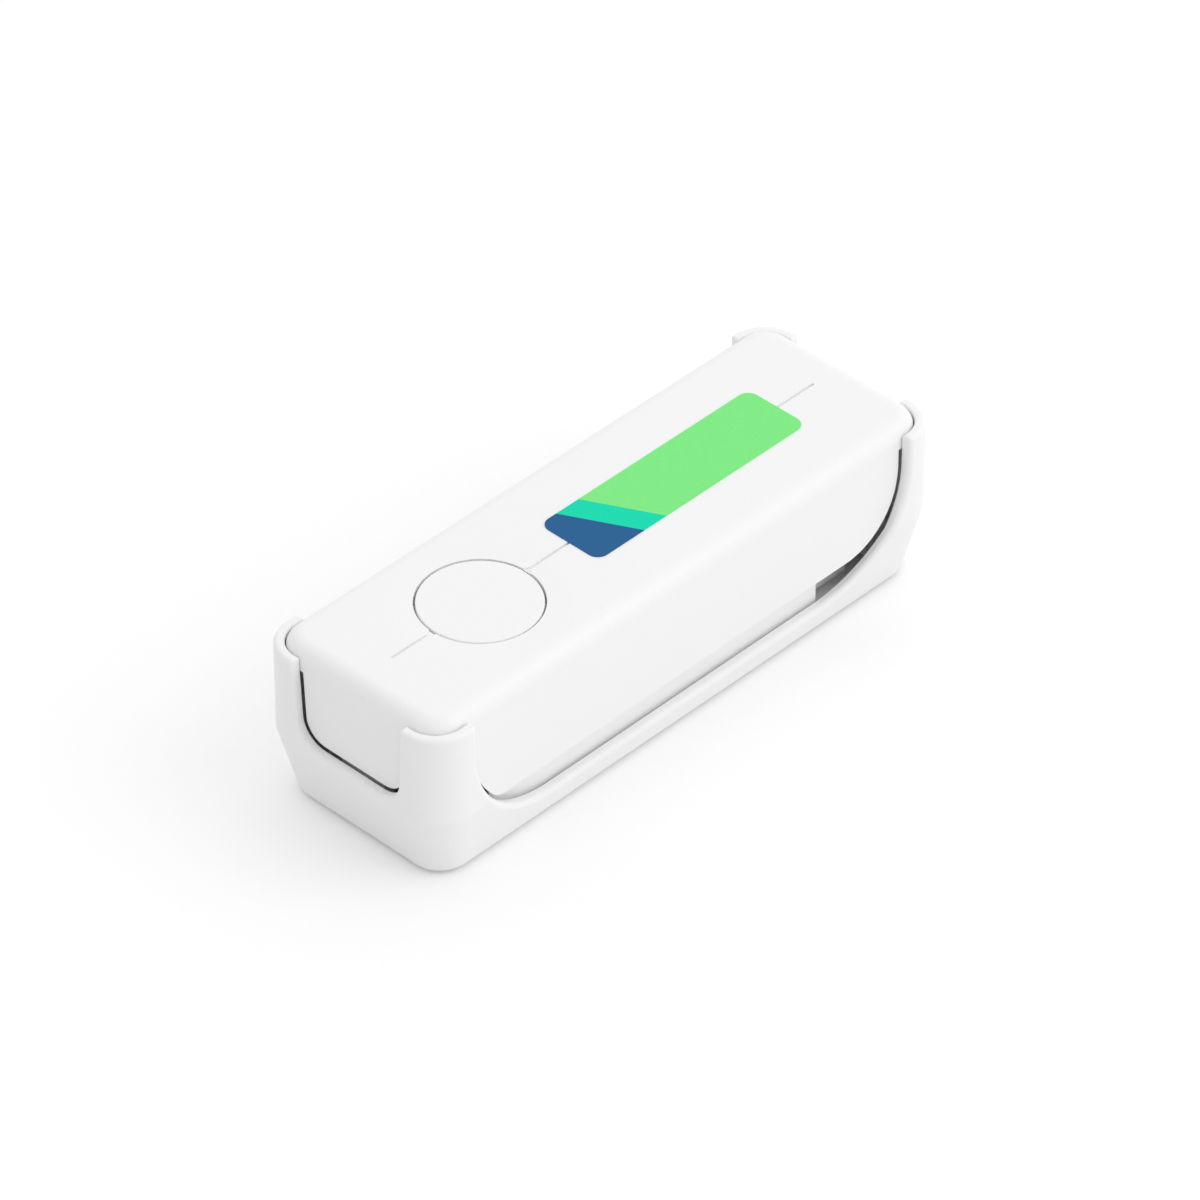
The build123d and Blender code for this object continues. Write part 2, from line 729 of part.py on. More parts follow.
with BuildPart() as frame_screws:
    with BuildSketch(Plane.XY.offset(head_z)):
        with GridLocations(screw_spacing_x, screw_spacing_y, 2, 2):
            Circle(screw_head_radius)
    extrude(amount=-screw_head_height)
    fillet(frame_screws.edges().group_by(Axis.Z)[0], radius=screw_head_height / 2)
    with BuildSketch(Plane.XY.offset(head_z - screw_head_height)):
        with GridLocations(screw_spacing_x, screw_spacing_y, 2, 2):
            Rectangle(screw_slot_length, screw_slot_width)
            Rectangle(screw_slot_width, screw_slot_length)
    extrude(amount=screw_slot_depth, mode=Mode.SUBTRACT)
    with BuildSketch(Plane.XY.offset(head_z)):
        with GridLocations(screw_spacing_x, screw_spacing_y, 2, 2):
            Circle(boss_pilot_radius)
    extrude(amount=screw_length)
    chamfer(frame_screws.edges().group_by(Axis.Z)[-1], length=screw_tip_bevel)
frame_screws.part.label = "frame_screws"
export_step(frame_screws.part, "parts/frame_screws.step")

# Cell can: drawn steel with a rolled neck and a crimp at its positive, near end
can_radius = cell_radius - wrap_thickness
can_far_y = cell_far_y - wrap_thickness
crimp_y = cell_near_y + cap_nub_height
neck_y = crimp_y + can_neck_below_top
seal_radius = cap_radius + seal_width
cap_face_y = crimp_y + seal_drop
seal_depth = seal_drop + cap_plate_thickness
cell_axis = Axis((0, 0, cell_z), (0, 1, 0))

with BuildPart() as battery_can:
    with BuildSketch(Plane.YZ):
        with BuildLine():
            Polyline(
                (can_far_y, cell_z),
                (can_far_y, cell_z + can_radius),
                (neck_y + can_neck_height / 2, cell_z + can_radius),
                (neck_y + can_neck_height / 4, cell_z + can_radius - can_neck_depth),
                (neck_y - can_neck_height / 4, cell_z + can_radius - can_neck_depth),
                (neck_y - can_neck_height / 2, cell_z + can_radius),
                (crimp_y, cell_z + can_radius),
                (crimp_y, cell_z + seal_radius),
                (crimp_y + seal_depth, cell_z + seal_radius),
                (crimp_y + seal_depth, cell_z),
                close=True,
            )
        make_face()
    revolve(axis=cell_axis)
    fillet(battery_can.edges().group_by(Axis.Y)[-1], radius=can_edge_radius)
battery_can.part.label = "battery_can"
export_step(battery_can.part, "parts/battery_can.step")

# Seal ring between can and positive cap
with BuildPart() as battery_seal_ring:
    with BuildSketch(Plane.XZ.offset(-crimp_y)):
        with Locations((0, cell_z)):
            Circle(seal_radius)
            Circle(cap_radius, mode=Mode.SUBTRACT)
    extrude(amount=-seal_depth)
battery_seal_ring.part.label = "battery_seal_ring"
export_step(battery_seal_ring.part, "parts/battery_seal_ring.step")

# Positive cap: a plate with a raised nub
with BuildPart() as battery_top_cap:
    with BuildSketch(Plane.XZ.offset(-cap_face_y)):
        with Locations((0, cell_z)):
            Circle(cap_radius)
    extrude(amount=-cap_plate_thickness)
    with BuildSketch(Plane.XZ.offset(-cap_face_y)):
        with Locations((0, cell_z)):
            Circle(cap_nub_radius)
    extrude(amount=cap_face_y - cell_near_y, taper=nub_taper)
battery_top_cap.part.label = "battery_top_cap"
export_step(battery_top_cap.part, "parts/battery_top_cap.step")

# Shrink wrap round the can, turned in over both of its ends
lip_radius = can_radius - wrap_lip

with BuildPart() as battery_wrap:
    with BuildSketch(Plane.YZ):
        with BuildLine():
            Polyline(
                (cell_far_y, cell_z + lip_radius),
                (cell_far_y, cell_z + cell_radius),
                (crimp_y - wrap_thickness, cell_z + cell_radius),
                (crimp_y - wrap_thickness, cell_z + lip_radius),
                (crimp_y, cell_z + lip_radius),
                (crimp_y, cell_z + can_radius),
                (can_far_y, cell_z + can_radius),
                (can_far_y, cell_z + lip_radius),
                close=True,
            )
        make_face()
    revolve(axis=cell_axis)
battery_wrap.part.label = "battery_wrap"
export_step(battery_wrap.part, "parts/battery_wrap.step")

# Contact plates: each a spring-steel plate with a tab that is soldered into the board
tab_top_z = board_top_z + contact_tab_rise

with BuildPart() as positive_contact:
    with BuildSketch(Plane.XZ.offset(-near_contact_y)):
        with Locations((0, cell_z)):
            RectangleRounded(contact_width, contact_height, contact_corner)
        with Locations((contact_tab_x, cell_z)):
            Rectangle(contact_tab_width, tab_top_z - cell_z, align=(Align.CENTER, Align.MIN))
    extrude(amount=-contact_thickness)
    with BuildSketch(Plane.XZ.offset(-(near_contact_y + contact_thickness))):
        with Locations((0, cell_z)):
            Circle(dimple_radius)
    extrude(amount=-dimple_height, taper=dimple_taper)
positive_contact.part.label = "positive_contact"
export_step(positive_contact.part, "parts/positive_contact.step")

with BuildPart() as negative_contact:
    with BuildSketch(Plane.XZ.offset(-far_contact_y)):
        with Locations((0, cell_z)):
            RectangleRounded(contact_width, contact_height, contact_corner)
        with Locations((-contact_tab_x, cell_z)):
            Rectangle(contact_tab_width, tab_top_z - cell_z, align=(Align.CENTER, Align.MIN))
    extrude(amount=contact_thickness)
negative_contact.part.label = "negative_contact"
export_step(negative_contact.part, "parts/negative_contact.step")

# Conical contact spring, held compressed between the negative plate and the cell
spring_rise = spring_length - 2 * spring_wire_radius
spring_slope = degrees(atan2(spring_base_radius - spring_top_radius, spring_rise))

with BuildPart() as negative_spring:
    with BuildLine():
        spring_path = Helix(
            pitch=spring_rise / spring_turns,
            height=spring_rise,
            radius=spring_base_radius,
            center=(0, far_contact_y - contact_thickness - spring_wire_radius, cell_z),
            direction=(0, -1, 0),
            cone_angle=-spring_slope,
        )
    with BuildSketch(Plane(origin=spring_path @ 0, z_dir=spring_path % 0)):
        Circle(spring_wire_radius)
    sweep(path=spring_path, is_frenet=True)
negative_spring.part.label = "negative_spring"
export_step(negative_spring.part, "parts/negative_spring.step")

# Radio module: its own small board with half holes along both sides
module_near_y = module_edge_gap - board_length / 2
module_middle_y = module_near_y + module_length / 2
shield_far_y = module_near_y + module_length - shield_margin
module_bottom_z = board_bottom_z - module_thickness

with BuildPart() as wifi_module_board:
    with BuildSketch(Plane.XY.offset(module_bottom_z)):
        with Locations((0, module_middle_y)):
            Rectangle(module_width, module_length)
        with Locations((0, shield_far_y - shield_length / 2)):
            with GridLocations(module_width, module_pad_pitch, 2, module_pads):
                Circle(module_pad_radius, mode=Mode.SUBTRACT)
    extrude(amount=module_thickness)
wifi_module_board.part.label = "wifi_module_board"
export_step(wifi_module_board.part, "parts/wifi_module_board.step")

# Shield can over the module's chips
with BuildPart() as wifi_module_shield:
    with BuildSketch(Plane.XY.offset(module_bottom_z)):
        with Locations((0, shield_far_y - shield_length / 2)):
            RectangleRounded(shield_width, shield_length, shield_corner)
    extrude(amount=-shield_height)
    fillet(wifi_module_shield.edges().group_by(Axis.Z)[0], radius=shield_wall)
    with BuildSketch(Plane.XY.offset(module_bottom_z)):
        with Locations((0, shield_far_y - shield_length / 2)):
            Rectangle(shield_width - 2 * shield_wall, shield_length - 2 * shield_wall)
    extrude(amount=shield_wall - shield_height, mode=Mode.SUBTRACT)
wifi_module_shield.part.label = "wifi_module_shield"
export_step(wifi_module_shield.part, "parts/wifi_module_shield.step")

# Meander antenna on the module's free end
antenna_y = module_near_y + shield_margin
antenna_x = antenna_pitch * antenna_folds / 2

with BuildPart() as wifi_module_antenna:
    with BuildSketch(Plane.XY.offset(module_bottom_z)):
        for i in range(antenna_folds + 1):
            with Locations((i * antenna_pitch - antenna_x, antenna_y + antenna_reach / 2)):
                Rectangle(antenna_strip, antenna_reach)
        for i in range(antenna_folds):
            bend_y = antenna_y + antenna_strip / 2 + (i % 2) * (antenna_reach - antenna_strip)
            with Locations(((i + 1 / 2) * antenna_pitch - antenna_x, bend_y)):
                Rectangle(antenna_pitch, antenna_strip)
    extrude(amount=-antenna_thickness)
wifi_module_antenna.part.label = "wifi_module_antenna"
export_step(wifi_module_antenna.part, "parts/wifi_module_antenna.step")

# Tactile switch: moulded base with a round well and four leads
switch_plate_z = board_top_z + switch_base_height
plunger_hole_radius = plunger_radius + plunger_clearance
dome_z = board_top_z + switch_floor
plunger_foot_z = dome_z + dome_height + dome_play

with BuildPart() as tact_switch_base:
    with BuildSketch(Plane.XY.offset(board_top_z)):
        with Locations((0, button_y)):
            RectangleRounded(switch_size, switch_size, switch_corner)
    extrude(amount=switch_base_height)
    with BuildSketch(Plane.XY.offset(dome_z)):
        with Locations((0, button_y)):
            Circle(switch_well_radius)
    extrude(amount=switch_base_height, mode=Mode.SUBTRACT)
    with BuildSketch(Plane.XY.offset(board_top_z)):
        with Locations((0, button_y)):
            with GridLocations(switch_size + switch_lead_length, switch_size - 2 * switch_lead_width, 2, 2):
                Rectangle(switch_lead_length, switch_lead_width)
    extrude(amount=switch_lead_thickness)
tact_switch_base.part.label = "tact_switch_base"
export_step(tact_switch_base.part, "parts/tact_switch_base.step")

# Snap dome in the well, which springs the plunger back
with BuildPart() as tact_switch_dome:
    with BuildSketch(Plane.XZ.offset(-button_y)):
        with BuildLine():
            ThreePointArc(
                (-dome_radius, dome_z), (0, dome_z + dome_height), (dome_radius, dome_z)
            )
            Line((dome_radius, dome_z), (dome_radius - dome_thickness, dome_z))
            ThreePointArc(
                (dome_radius - dome_thickness, dome_z),
                (0, dome_z + dome_height - dome_thickness),
                (dome_thickness - dome_radius, dome_z),
            )
            Line((dome_thickness - dome_radius, dome_z), (-dome_radius, dome_z))
        make_face()
        with Locations((-dome_radius, dome_z)):
            Rectangle(dome_radius, 2 * dome_height, align=(Align.MIN, Align.MIN), mode=Mode.SUBTRACT)
    revolve(axis=Axis((0, button_y, 0), (0, 0, 1)))
tact_switch_dome.part.label = "tact_switch_dome"
export_step(tact_switch_dome.part, "parts/tact_switch_dome.step")

# Plunger, held under the plate by its wider foot
with BuildPart() as tact_switch_plunger:
    with BuildSketch(Plane.XY.offset(plunger_foot_z)):
        with Locations((0, button_y)):
            Circle(plunger_foot_radius)
    extrude(amount=plunger_foot_height)
    with BuildSketch(Plane.XY.offset(plunger_foot_z)):
        with Locations((0, button_y)):
            Circle(plunger_radius)
    extrude(amount=stem_bottom_z - stem_play - plunger_foot_z)
tact_switch_plunger.part.label = "tact_switch_plunger"
export_step(tact_switch_plunger.part, "parts/tact_switch_plunger.step")

# Metal plate that closes the switch
with BuildPart() as tact_switch_plate:
    with BuildSketch(Plane.XY.offset(switch_plate_z)):
        with Locations((0, button_y)):
            RectangleRounded(switch_size, switch_size, switch_corner)
            Circle(plunger_hole_radius, mode=Mode.SUBTRACT)
    extrude(amount=switch_plate_thickness)
tact_switch_plate.part.label = "tact_switch_plate"
export_step(tact_switch_plate.part, "parts/tact_switch_plate.step")


# Charging socket: outline of the shell, wider at its top than at its bottom
def socket_outline(inset):
    half_width = socket_width / 2 - inset
    low = socket_z - socket_height / 2 + inset
    high = socket_z + socket_height / 2 - inset
    Polygon(
        (-half_width, high),
        (-half_width, low + socket_chamfer),
        (socket_chamfer - half_width, low),
        (half_width - socket_chamfer, low),
        (half_width, low + socket_chamfer),
        (half_width, high),
        align=None,
    )


with BuildPart() as usb_socket_shell:
    with BuildSketch(Plane.XZ.offset(-socket_back_y)):
        socket_outline(0)
    extrude(amount=-socket_length)
    with BuildSketch(Plane.XZ.offset(-socket_back_y)):
        socket_outline(socket_wall)
    extrude(amount=-socket_length, mode=Mode.SUBTRACT)
    with BuildSketch(Plane.XY.offset(board_top_z)):
        wing_x = (socket_width + socket_wing_width) / 2 - socket_wall / 2
        wing_y = socket_back_y + socket_wing_length / 2 + socket_wing_width
        with Locations((wing_x, wing_y), (-wing_x, wing_y)):
            Rectangle(socket_wing_width + socket_wall, socket_wing_length)
    extrude(amount=socket_wing_thickness)
usb_socket_shell.part.label = "usb_socket_shell"
export_step(usb_socket_shell.part, "parts/usb_socket_shell.step")

# Insulating body of the socket: a back wall with the tongue
tongue_z = socket_z + socket_height / 2 - socket_wall - socket_tongue_thickness

with BuildPart() as usb_socket_tongue:
    with BuildSketch(Plane.XZ.offset(-socket_back_y)):
        socket_outline(socket_wall)
    extrude(amount=-socket_back_thickness)
    with BuildSketch(Plane.XZ.offset(-socket_back_y)):
        with Locations((0, tongue_z)):
            Rectangle(socket_tongue_width, socket_tongue_thickness, align=(Align.CENTER, Align.MIN))
    extrude(amount=socket_tongue_short - socket_length)
usb_socket_tongue.part.label = "usb_socket_tongue"
export_step(usb_socket_tongue.part, "parts/usb_socket_tongue.step")

# Contact strips under the tongue
with BuildPart() as usb_socket_contacts:
    with BuildSketch(Plane.XZ.offset(-(socket_back_y + socket_back_thickness))):
        with Locations((0, tongue_z - socket_pin_thickness / 2)):
            with GridLocations(socket_pin_pitch, socket_pin_pitch, socket_pins, 1):
                Rectangle(socket_pin_width, socket_pin_thickness)
    extrude(amount=socket_back_thickness + 2 * socket_tongue_short - socket_length)
usb_socket_contacts.part.label = "usb_socket_contacts"
export_step(usb_socket_contacts.part, "parts/usb_socket_contacts.step")


standing = (Align.CENTER, Align.CENTER, Align.MIN)


# Small lamps: a flat body with a raised lens
def make_lamp(x, y):
    with Locations((x, y, board_top_z)):
        Box(lamp_length, lamp_width, lamp_height, align=standing)
    with Locations((x, y, board_top_z + lamp_height)):
        lens_length = lamp_length - 2 * lamp_lens_margin
        lens_width = lamp_width - 2 * lamp_lens_margin
        Box(lens_length, lens_width, lamp_lens_height, align=standing)


with BuildPart() as status_led:
    make_lamp(0, status_lamp_y)
    chamfer(status_led.faces().sort_by(Axis.Z)[-1].edges(), length=lamp_lens_bevel)
status_led.part.label = "status_led"
export_step(status_led.part, "parts/status_led.step")

with BuildPart() as charge_led:
    make_lamp(charge_lamp_x, end_y - charge_lamp_from_end)
    chamfer(charge_led.faces().sort_by(Axis.Z)[-1].edges(), length=lamp_lens_bevel)
charge_led.part.label = "charge_led"
export_step(charge_led.part, "parts/charge_led.step")


# Chips: a chamfered body with leads along both long sides
def make_chip(x, y, width, length, height):
    with Locations((x, y, board_top_z)):
        body = Box(width, length, height, align=standing)
        chamfer(body.faces().sort_by(Axis.Z)[-1].edges(), length=chip_chamfer)
        with GridLocations(width + chip_lead_length, chip_lead_pitch, 2, chip_leads):
            Box(chip_lead_length, chip_lead_width, chip_lead_thickness, align=standing)


with BuildPart() as charger_chip:
    make_chip(charger_x, end_y - charger_from_end, charger_size, charger_size, charger_height)
charger_chip.part.label = "charger_chip"
export_step(charger_chip.part, "parts/charger_chip.step")

with BuildPart() as regulator_chip:
    make_chip(
        regulator_x, end_y - regulator_from_end, regulator_width, regulator_length, regulator_height
    )
regulator_chip.part.label = "regulator_chip"
export_step(regulator_chip.part, "parts/regulator_chip.step")

# Capacitors and resistors, in small grids beside the middle of the board
with BuildPart() as board_capacitors:
    with BuildSketch(Plane.XY.offset(board_top_z)):
        with Locations((capacitor_x, end_y - capacitors_from_end)):
            with GridLocations(capacitor_pitch_x, capacitor_pitch_y, capacitor_columns, capacitor_rows):
                RectangleRounded(capacitor_length, capacitor_width, capacitor_edge)
    extrude(amount=capacitor_height)
board_capacitors.part.label = "board_capacitors"
export_step(board_capacitors.part, "parts/board_capacitors.step")

with BuildPart() as board_resistors:
    with BuildSketch(Plane.XY.offset(board_top_z)):
        with Locations((resistor_x, end_y - resistors_from_end)):
            with GridLocations(resistor_pitch_x, resistor_pitch_y, resistor_columns, resistor_rows):
                RectangleRounded(resistor_length, resistor_width, resistor_edge)
    extrude(amount=resistor_height)
board_resistors.part.label = "board_resistors"
export_step(board_resistors.part, "parts/board_resistors.step")
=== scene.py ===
"""Looks of a hand-held smart button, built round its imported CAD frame."""

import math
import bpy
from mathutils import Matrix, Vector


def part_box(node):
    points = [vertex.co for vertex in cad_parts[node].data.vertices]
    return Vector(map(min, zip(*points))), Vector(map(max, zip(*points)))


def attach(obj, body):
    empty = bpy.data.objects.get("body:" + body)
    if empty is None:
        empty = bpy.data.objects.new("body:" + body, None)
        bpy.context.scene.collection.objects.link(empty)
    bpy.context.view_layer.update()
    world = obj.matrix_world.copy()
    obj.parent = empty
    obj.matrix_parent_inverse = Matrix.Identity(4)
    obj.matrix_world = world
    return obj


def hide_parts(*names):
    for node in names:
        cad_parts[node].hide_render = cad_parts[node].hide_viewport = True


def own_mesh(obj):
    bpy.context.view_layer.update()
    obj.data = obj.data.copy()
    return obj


bl_info = {
    "name": "Smart button",
    "version": (1, 0, 0),
    "blender": (4, 5, 0),
    "location": "3D View > Sidebar > Smart Button",
    "description": "Dresses the CAD frame of a smart button and sets up its studio",
    "category": "Object",
}

import bmesh
import bpy
from mathutils import Matrix, Vector

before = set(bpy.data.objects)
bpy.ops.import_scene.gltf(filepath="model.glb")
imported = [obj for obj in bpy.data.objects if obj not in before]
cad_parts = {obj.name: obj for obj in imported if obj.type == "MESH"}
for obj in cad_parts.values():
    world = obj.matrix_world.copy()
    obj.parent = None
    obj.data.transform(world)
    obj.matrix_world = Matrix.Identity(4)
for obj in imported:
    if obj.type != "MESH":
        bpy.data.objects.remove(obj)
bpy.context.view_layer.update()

MM = 0.001
# places of the Mix node's sockets, whose names its forms for numbers and for colours share
NUMBER_A, NUMBER_B = 2, 3
COLOUR_A, COLOUR_B, COLOUR_MIX = 6, 7, 2
# most values of a Noise texture lie between these
NOISE_SPREAD = (0.3, 0.7)
# a Wave texture of scale 1 repeats after this many metres
WAVE_REPEAT = 0.314
# a pattern's scale along X, Y and Z, where a tenth draws it out ten times
EVEN, ALONG_X, ALONG_Y = (1, 1, 1), (0.1, 1, 1), (1, 0.1, 1)
ABS_IOR = 1.53

# repeats on the boards, in millimetres, as the CAD frame has them
SCREW_SPACING = (21.8, 76.4)
CAPACITOR = {"node": "board_capacitors", "size": (2.0, 1.25), "pitch": (4.4, 3.4), "count": (2, 4)}
RESISTOR = {"node": "board_resistors", "size": (1.6, 0.8), "pitch": (3.0, 2.2), "count": (3, 5)}
CHIP_LEADS, CHIP_LEAD_PITCH = 3, 0.95
SWITCH_LEADS, SWITCH_LEAD_PITCH = 2, 3.8
MODULE_PADS, MODULE_PAD_PITCH = 6, 1.5

# length, width and height of the solder beads, in millimetres
CHIP_BEAD = (0.6, 0.55, 0.2)
SWITCH_BEAD = (0.8, 0.9, 0.22)
LAMP_BEAD = (0.6, 1.0, 0.25)
MODULE_BEAD = (0.9, 0.6, 0.75)
# the same for a small part's tinned end, which the bead is a little narrower than
END_BEAD_LENGTH, END_BEAD_SHARE, END_BEAD_HEIGHT = 0.7, 0.95, 0.35


def linear(hex_colour):
    """An sRGB hex colour as linear RGBA."""
    channels = []
    for i in (0, 2, 4):
        value = int(hex_colour[i:i + 2], 16) / 255
        channels.append(value / 12.92 if value <= 0.04045 else ((value + 0.055) / 1.055) ** 2.4)
    return (*channels, 1.0)


def paler(colour, times):
    """A linear colour made lighter, and held at white."""
    return tuple(min(1.0, times * value) for value in colour)


def add_node(tree, kind, settings=None, inputs=None, links=None):
    """Add one node, set its properties and sockets, and link sockets to other nodes' outputs."""
    node = tree.nodes.new(kind)
    for name, value in (settings or {}).items():
        setattr(node, name, value)
    for name, value in (inputs or {}).items():
        node.inputs[name].default_value = value
    for name, source in (links or {}).items():
        tree.links.new(source, node.inputs[name])
    return node


def add_object(name, data):
    """Put an object with the given data in the scene."""
    made = bpy.data.objects.new(name, data)
    bpy.context.scene.collection.objects.link(made)
    return made


def new_material(name):
    """A node material, its tree, and the socket that gives the place on the piece."""
    material = bpy.data.materials.new(name)
    material.use_nodes = True
    tree = material.node_tree
    tree.nodes.clear()
    return material, tree, add_node(tree, "ShaderNodeTexCoord").outputs["Object"]


def uneven_tone(tree, colour, pattern, darkest, lightest):
    """A colour, given as hex or as a socket, whose brightness wanders with a noise pattern."""
    least, most = NOISE_SPREAD
    shade = add_node(
        tree, "ShaderNodeMapRange", links={"Value": pattern},
        inputs={"From Min": least, "From Max": most, "To Min": darkest, "To Max": lightest},
    )
    tone = add_node(tree, "ShaderNodeHueSaturation", links={"Value": shade.outputs["Result"]})
    if isinstance(colour, str):
        tone.inputs["Color"].default_value = linear(colour)
    else:
        tree.links.new(colour, tone.inputs["Color"])
    return tone.outputs["Color"]


def close_material(
    material, values, tone, gloss, dullness, spread=(0, 1), metal=None, bump=None, strength=0, relief=0
):
    """Give a material its shader: its own values, and the sockets of its tone, gloss, metal and bump.

    The roughness goes from one dullness to the other as the gloss goes over its spread. The relief of the
    bump is given in millimetres.
    """
    tree = material.node_tree
    rough = add_node(
        tree, "ShaderNodeMapRange", links={"Value": gloss},
        inputs={"From Min": spread[0], "From Max": spread[1], "To Min": dullness[0], "To Max": dullness[1]},
    )
    links = {"Base Color": tone, "Roughness": rough.outputs["Result"]}
    if metal is not None:
        links["Metallic"] = metal
    if bump is not None:
        links["Normal"] = add_node(
            tree, "ShaderNodeBump", inputs={"Strength": strength, "Distance": relief * MM},
            links={"Height": bump},
        ).outputs["Normal"]
    shader = add_node(tree, "ShaderNodeBsdfPrincipled", inputs=values, links=links)
    add_node(tree, "ShaderNodeOutputMaterial", links={"Surface": shader.outputs["BSDF"]})
    return material


def dress(nodes, material):
    """Give CAD nodes a material in place of the one they came with."""
    for name in nodes:
        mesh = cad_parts[name].data
        mesh.materials.clear()
        mesh.materials.append(material)


def middle(node):
    """Centre of a CAD node's box, in metres."""
    low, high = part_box(node)
    return (Vector(low) + Vector(high)) / 2


def moulded_plastic(name, colour, roughness, ior, grain, relief):
    """Injection-moulded plastic: the grain of the spark-eroded tool, and slow changes of gloss.

    The gloss changes where the piece shrank as it cooled. The grain and its relief are given in
    millimetres. The grain is drawn at twice its real size, below which it doesn't show.
    """
    shrinkage_width = 16
    material, tree, place = new_material(name)
    erosion = add_node(
        tree, "ShaderNodeTexNoise", inputs={"Scale": 1 / (2 * grain * MM), "Detail": 3.0, "Roughness": 0.6},
        links={"Vector": place},
    ).outputs["Fac"]
    shrinkage = add_node(
        tree, "ShaderNodeTexNoise", inputs={"Scale": 1 / (shrinkage_width * MM), "Detail": 2.0},
        links={"Vector": place},
    ).outputs["Fac"]
    return close_material(
        material, {"IOR": ior}, uneven_tone(tree, colour, erosion, 0.985, 1.01), shrinkage,
        dullness=(roughness - 0.04, roughness + 0.05), spread=NOISE_SPREAD,
        bump=erosion, strength=0.35, relief=relief,
    )


def worked_metal(name, colour, roughness, streak, stretch, relief, tarnish=0.06):
    """Bare or plated metal with the marks of its making: rolling or drawing lines stretched along one axis.

    The distance between the lines and their relief are given in millimetres, and the tarnish is how far
    the tone wanders.
    """
    cloud_width = 4
    material, tree, place = new_material(name)
    along = add_node(tree, "ShaderNodeMapping", inputs={"Scale": stretch}, links={"Vector": place})
    lines = add_node(
        tree, "ShaderNodeTexNoise", inputs={"Scale": 1 / (streak * MM), "Detail": 4.0},
        links={"Vector": along.outputs["Vector"]},
    ).outputs["Fac"]
    clouds = add_node(
        tree, "ShaderNodeTexNoise", inputs={"Scale": 1 / (cloud_width * MM), "Detail": 3.0},
        links={"Vector": place},
    ).outputs["Fac"]
    return close_material(
        material, {"Metallic": 1.0}, uneven_tone(tree, colour, clouds, 1 - tarnish, 1 + tarnish / 2), lines,
        dullness=(roughness - 0.08, roughness + 0.1), spread=(0.25, 0.75),
        bump=lines, strength=0.25, relief=relief,
    )


def printed_polyester(name, colours, edges, slant):
    """Screen-printed polyester film: flat, even inks with crisp slanting edges under a matt clear coat.

    The coat scatters what it reflects, so its specular level is low and the inks stay deep. The edges are
    shares of the film's length at its left side, and the slant is what they gain across it.
    """
    # the screen's mesh leaves a ripple of about 0.15 mm, drawn twice as wide
    drawn_ripple = 0.3
    material, tree, place = new_material(name)
    low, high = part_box("label_film")
    axes = add_node(tree, "ShaderNodeSeparateXYZ", links={"Vector": place})
    along = add_node(
        tree, "ShaderNodeMapRange", {"clamp": False}, {"From Min": low[1], "From Max": high[1]},
        {"Value": axes.outputs["Y"]},
    )
    across = add_node(
        tree, "ShaderNodeMapRange", {"clamp": False},
        {"From Min": low[0], "From Max": high[0], "To Max": slant}, {"Value": axes.outputs["X"]},
    )
    share = add_node(
        tree, "ShaderNodeMath", {"operation": "SUBTRACT"},
        links={0: along.outputs["Result"], 1: across.outputs["Result"]},
    )
    inks = add_node(tree, "ShaderNodeValToRGB", links={"Fac": share.outputs[0]})
    ramp = inks.color_ramp
    ramp.interpolation = "CONSTANT"
    ramp.elements[0].color = linear(colours[0])
    ramp.elements[1].position = edges[0]
    ramp.elements[1].color = linear(colours[1])
    ramp.elements.new(edges[1]).color = linear(colours[2])
    mesh_marks = add_node(
        tree, "ShaderNodeTexNoise", inputs={"Scale": 1 / (drawn_ripple * MM), "Detail": 2.0},
        links={"Vector": place},
    ).outputs["Fac"]
    return close_material(
        material, {"IOR": 1.5, "Specular IOR Level": 0.06},
        uneven_tone(tree, inks.outputs["Color"], mesh_marks, 0.975, 1.02), mesh_marks,
        dullness=(0.4, 0.5), spread=NOISE_SPREAD, bump=mesh_marks, strength=0.2, relief=0.004,
    )


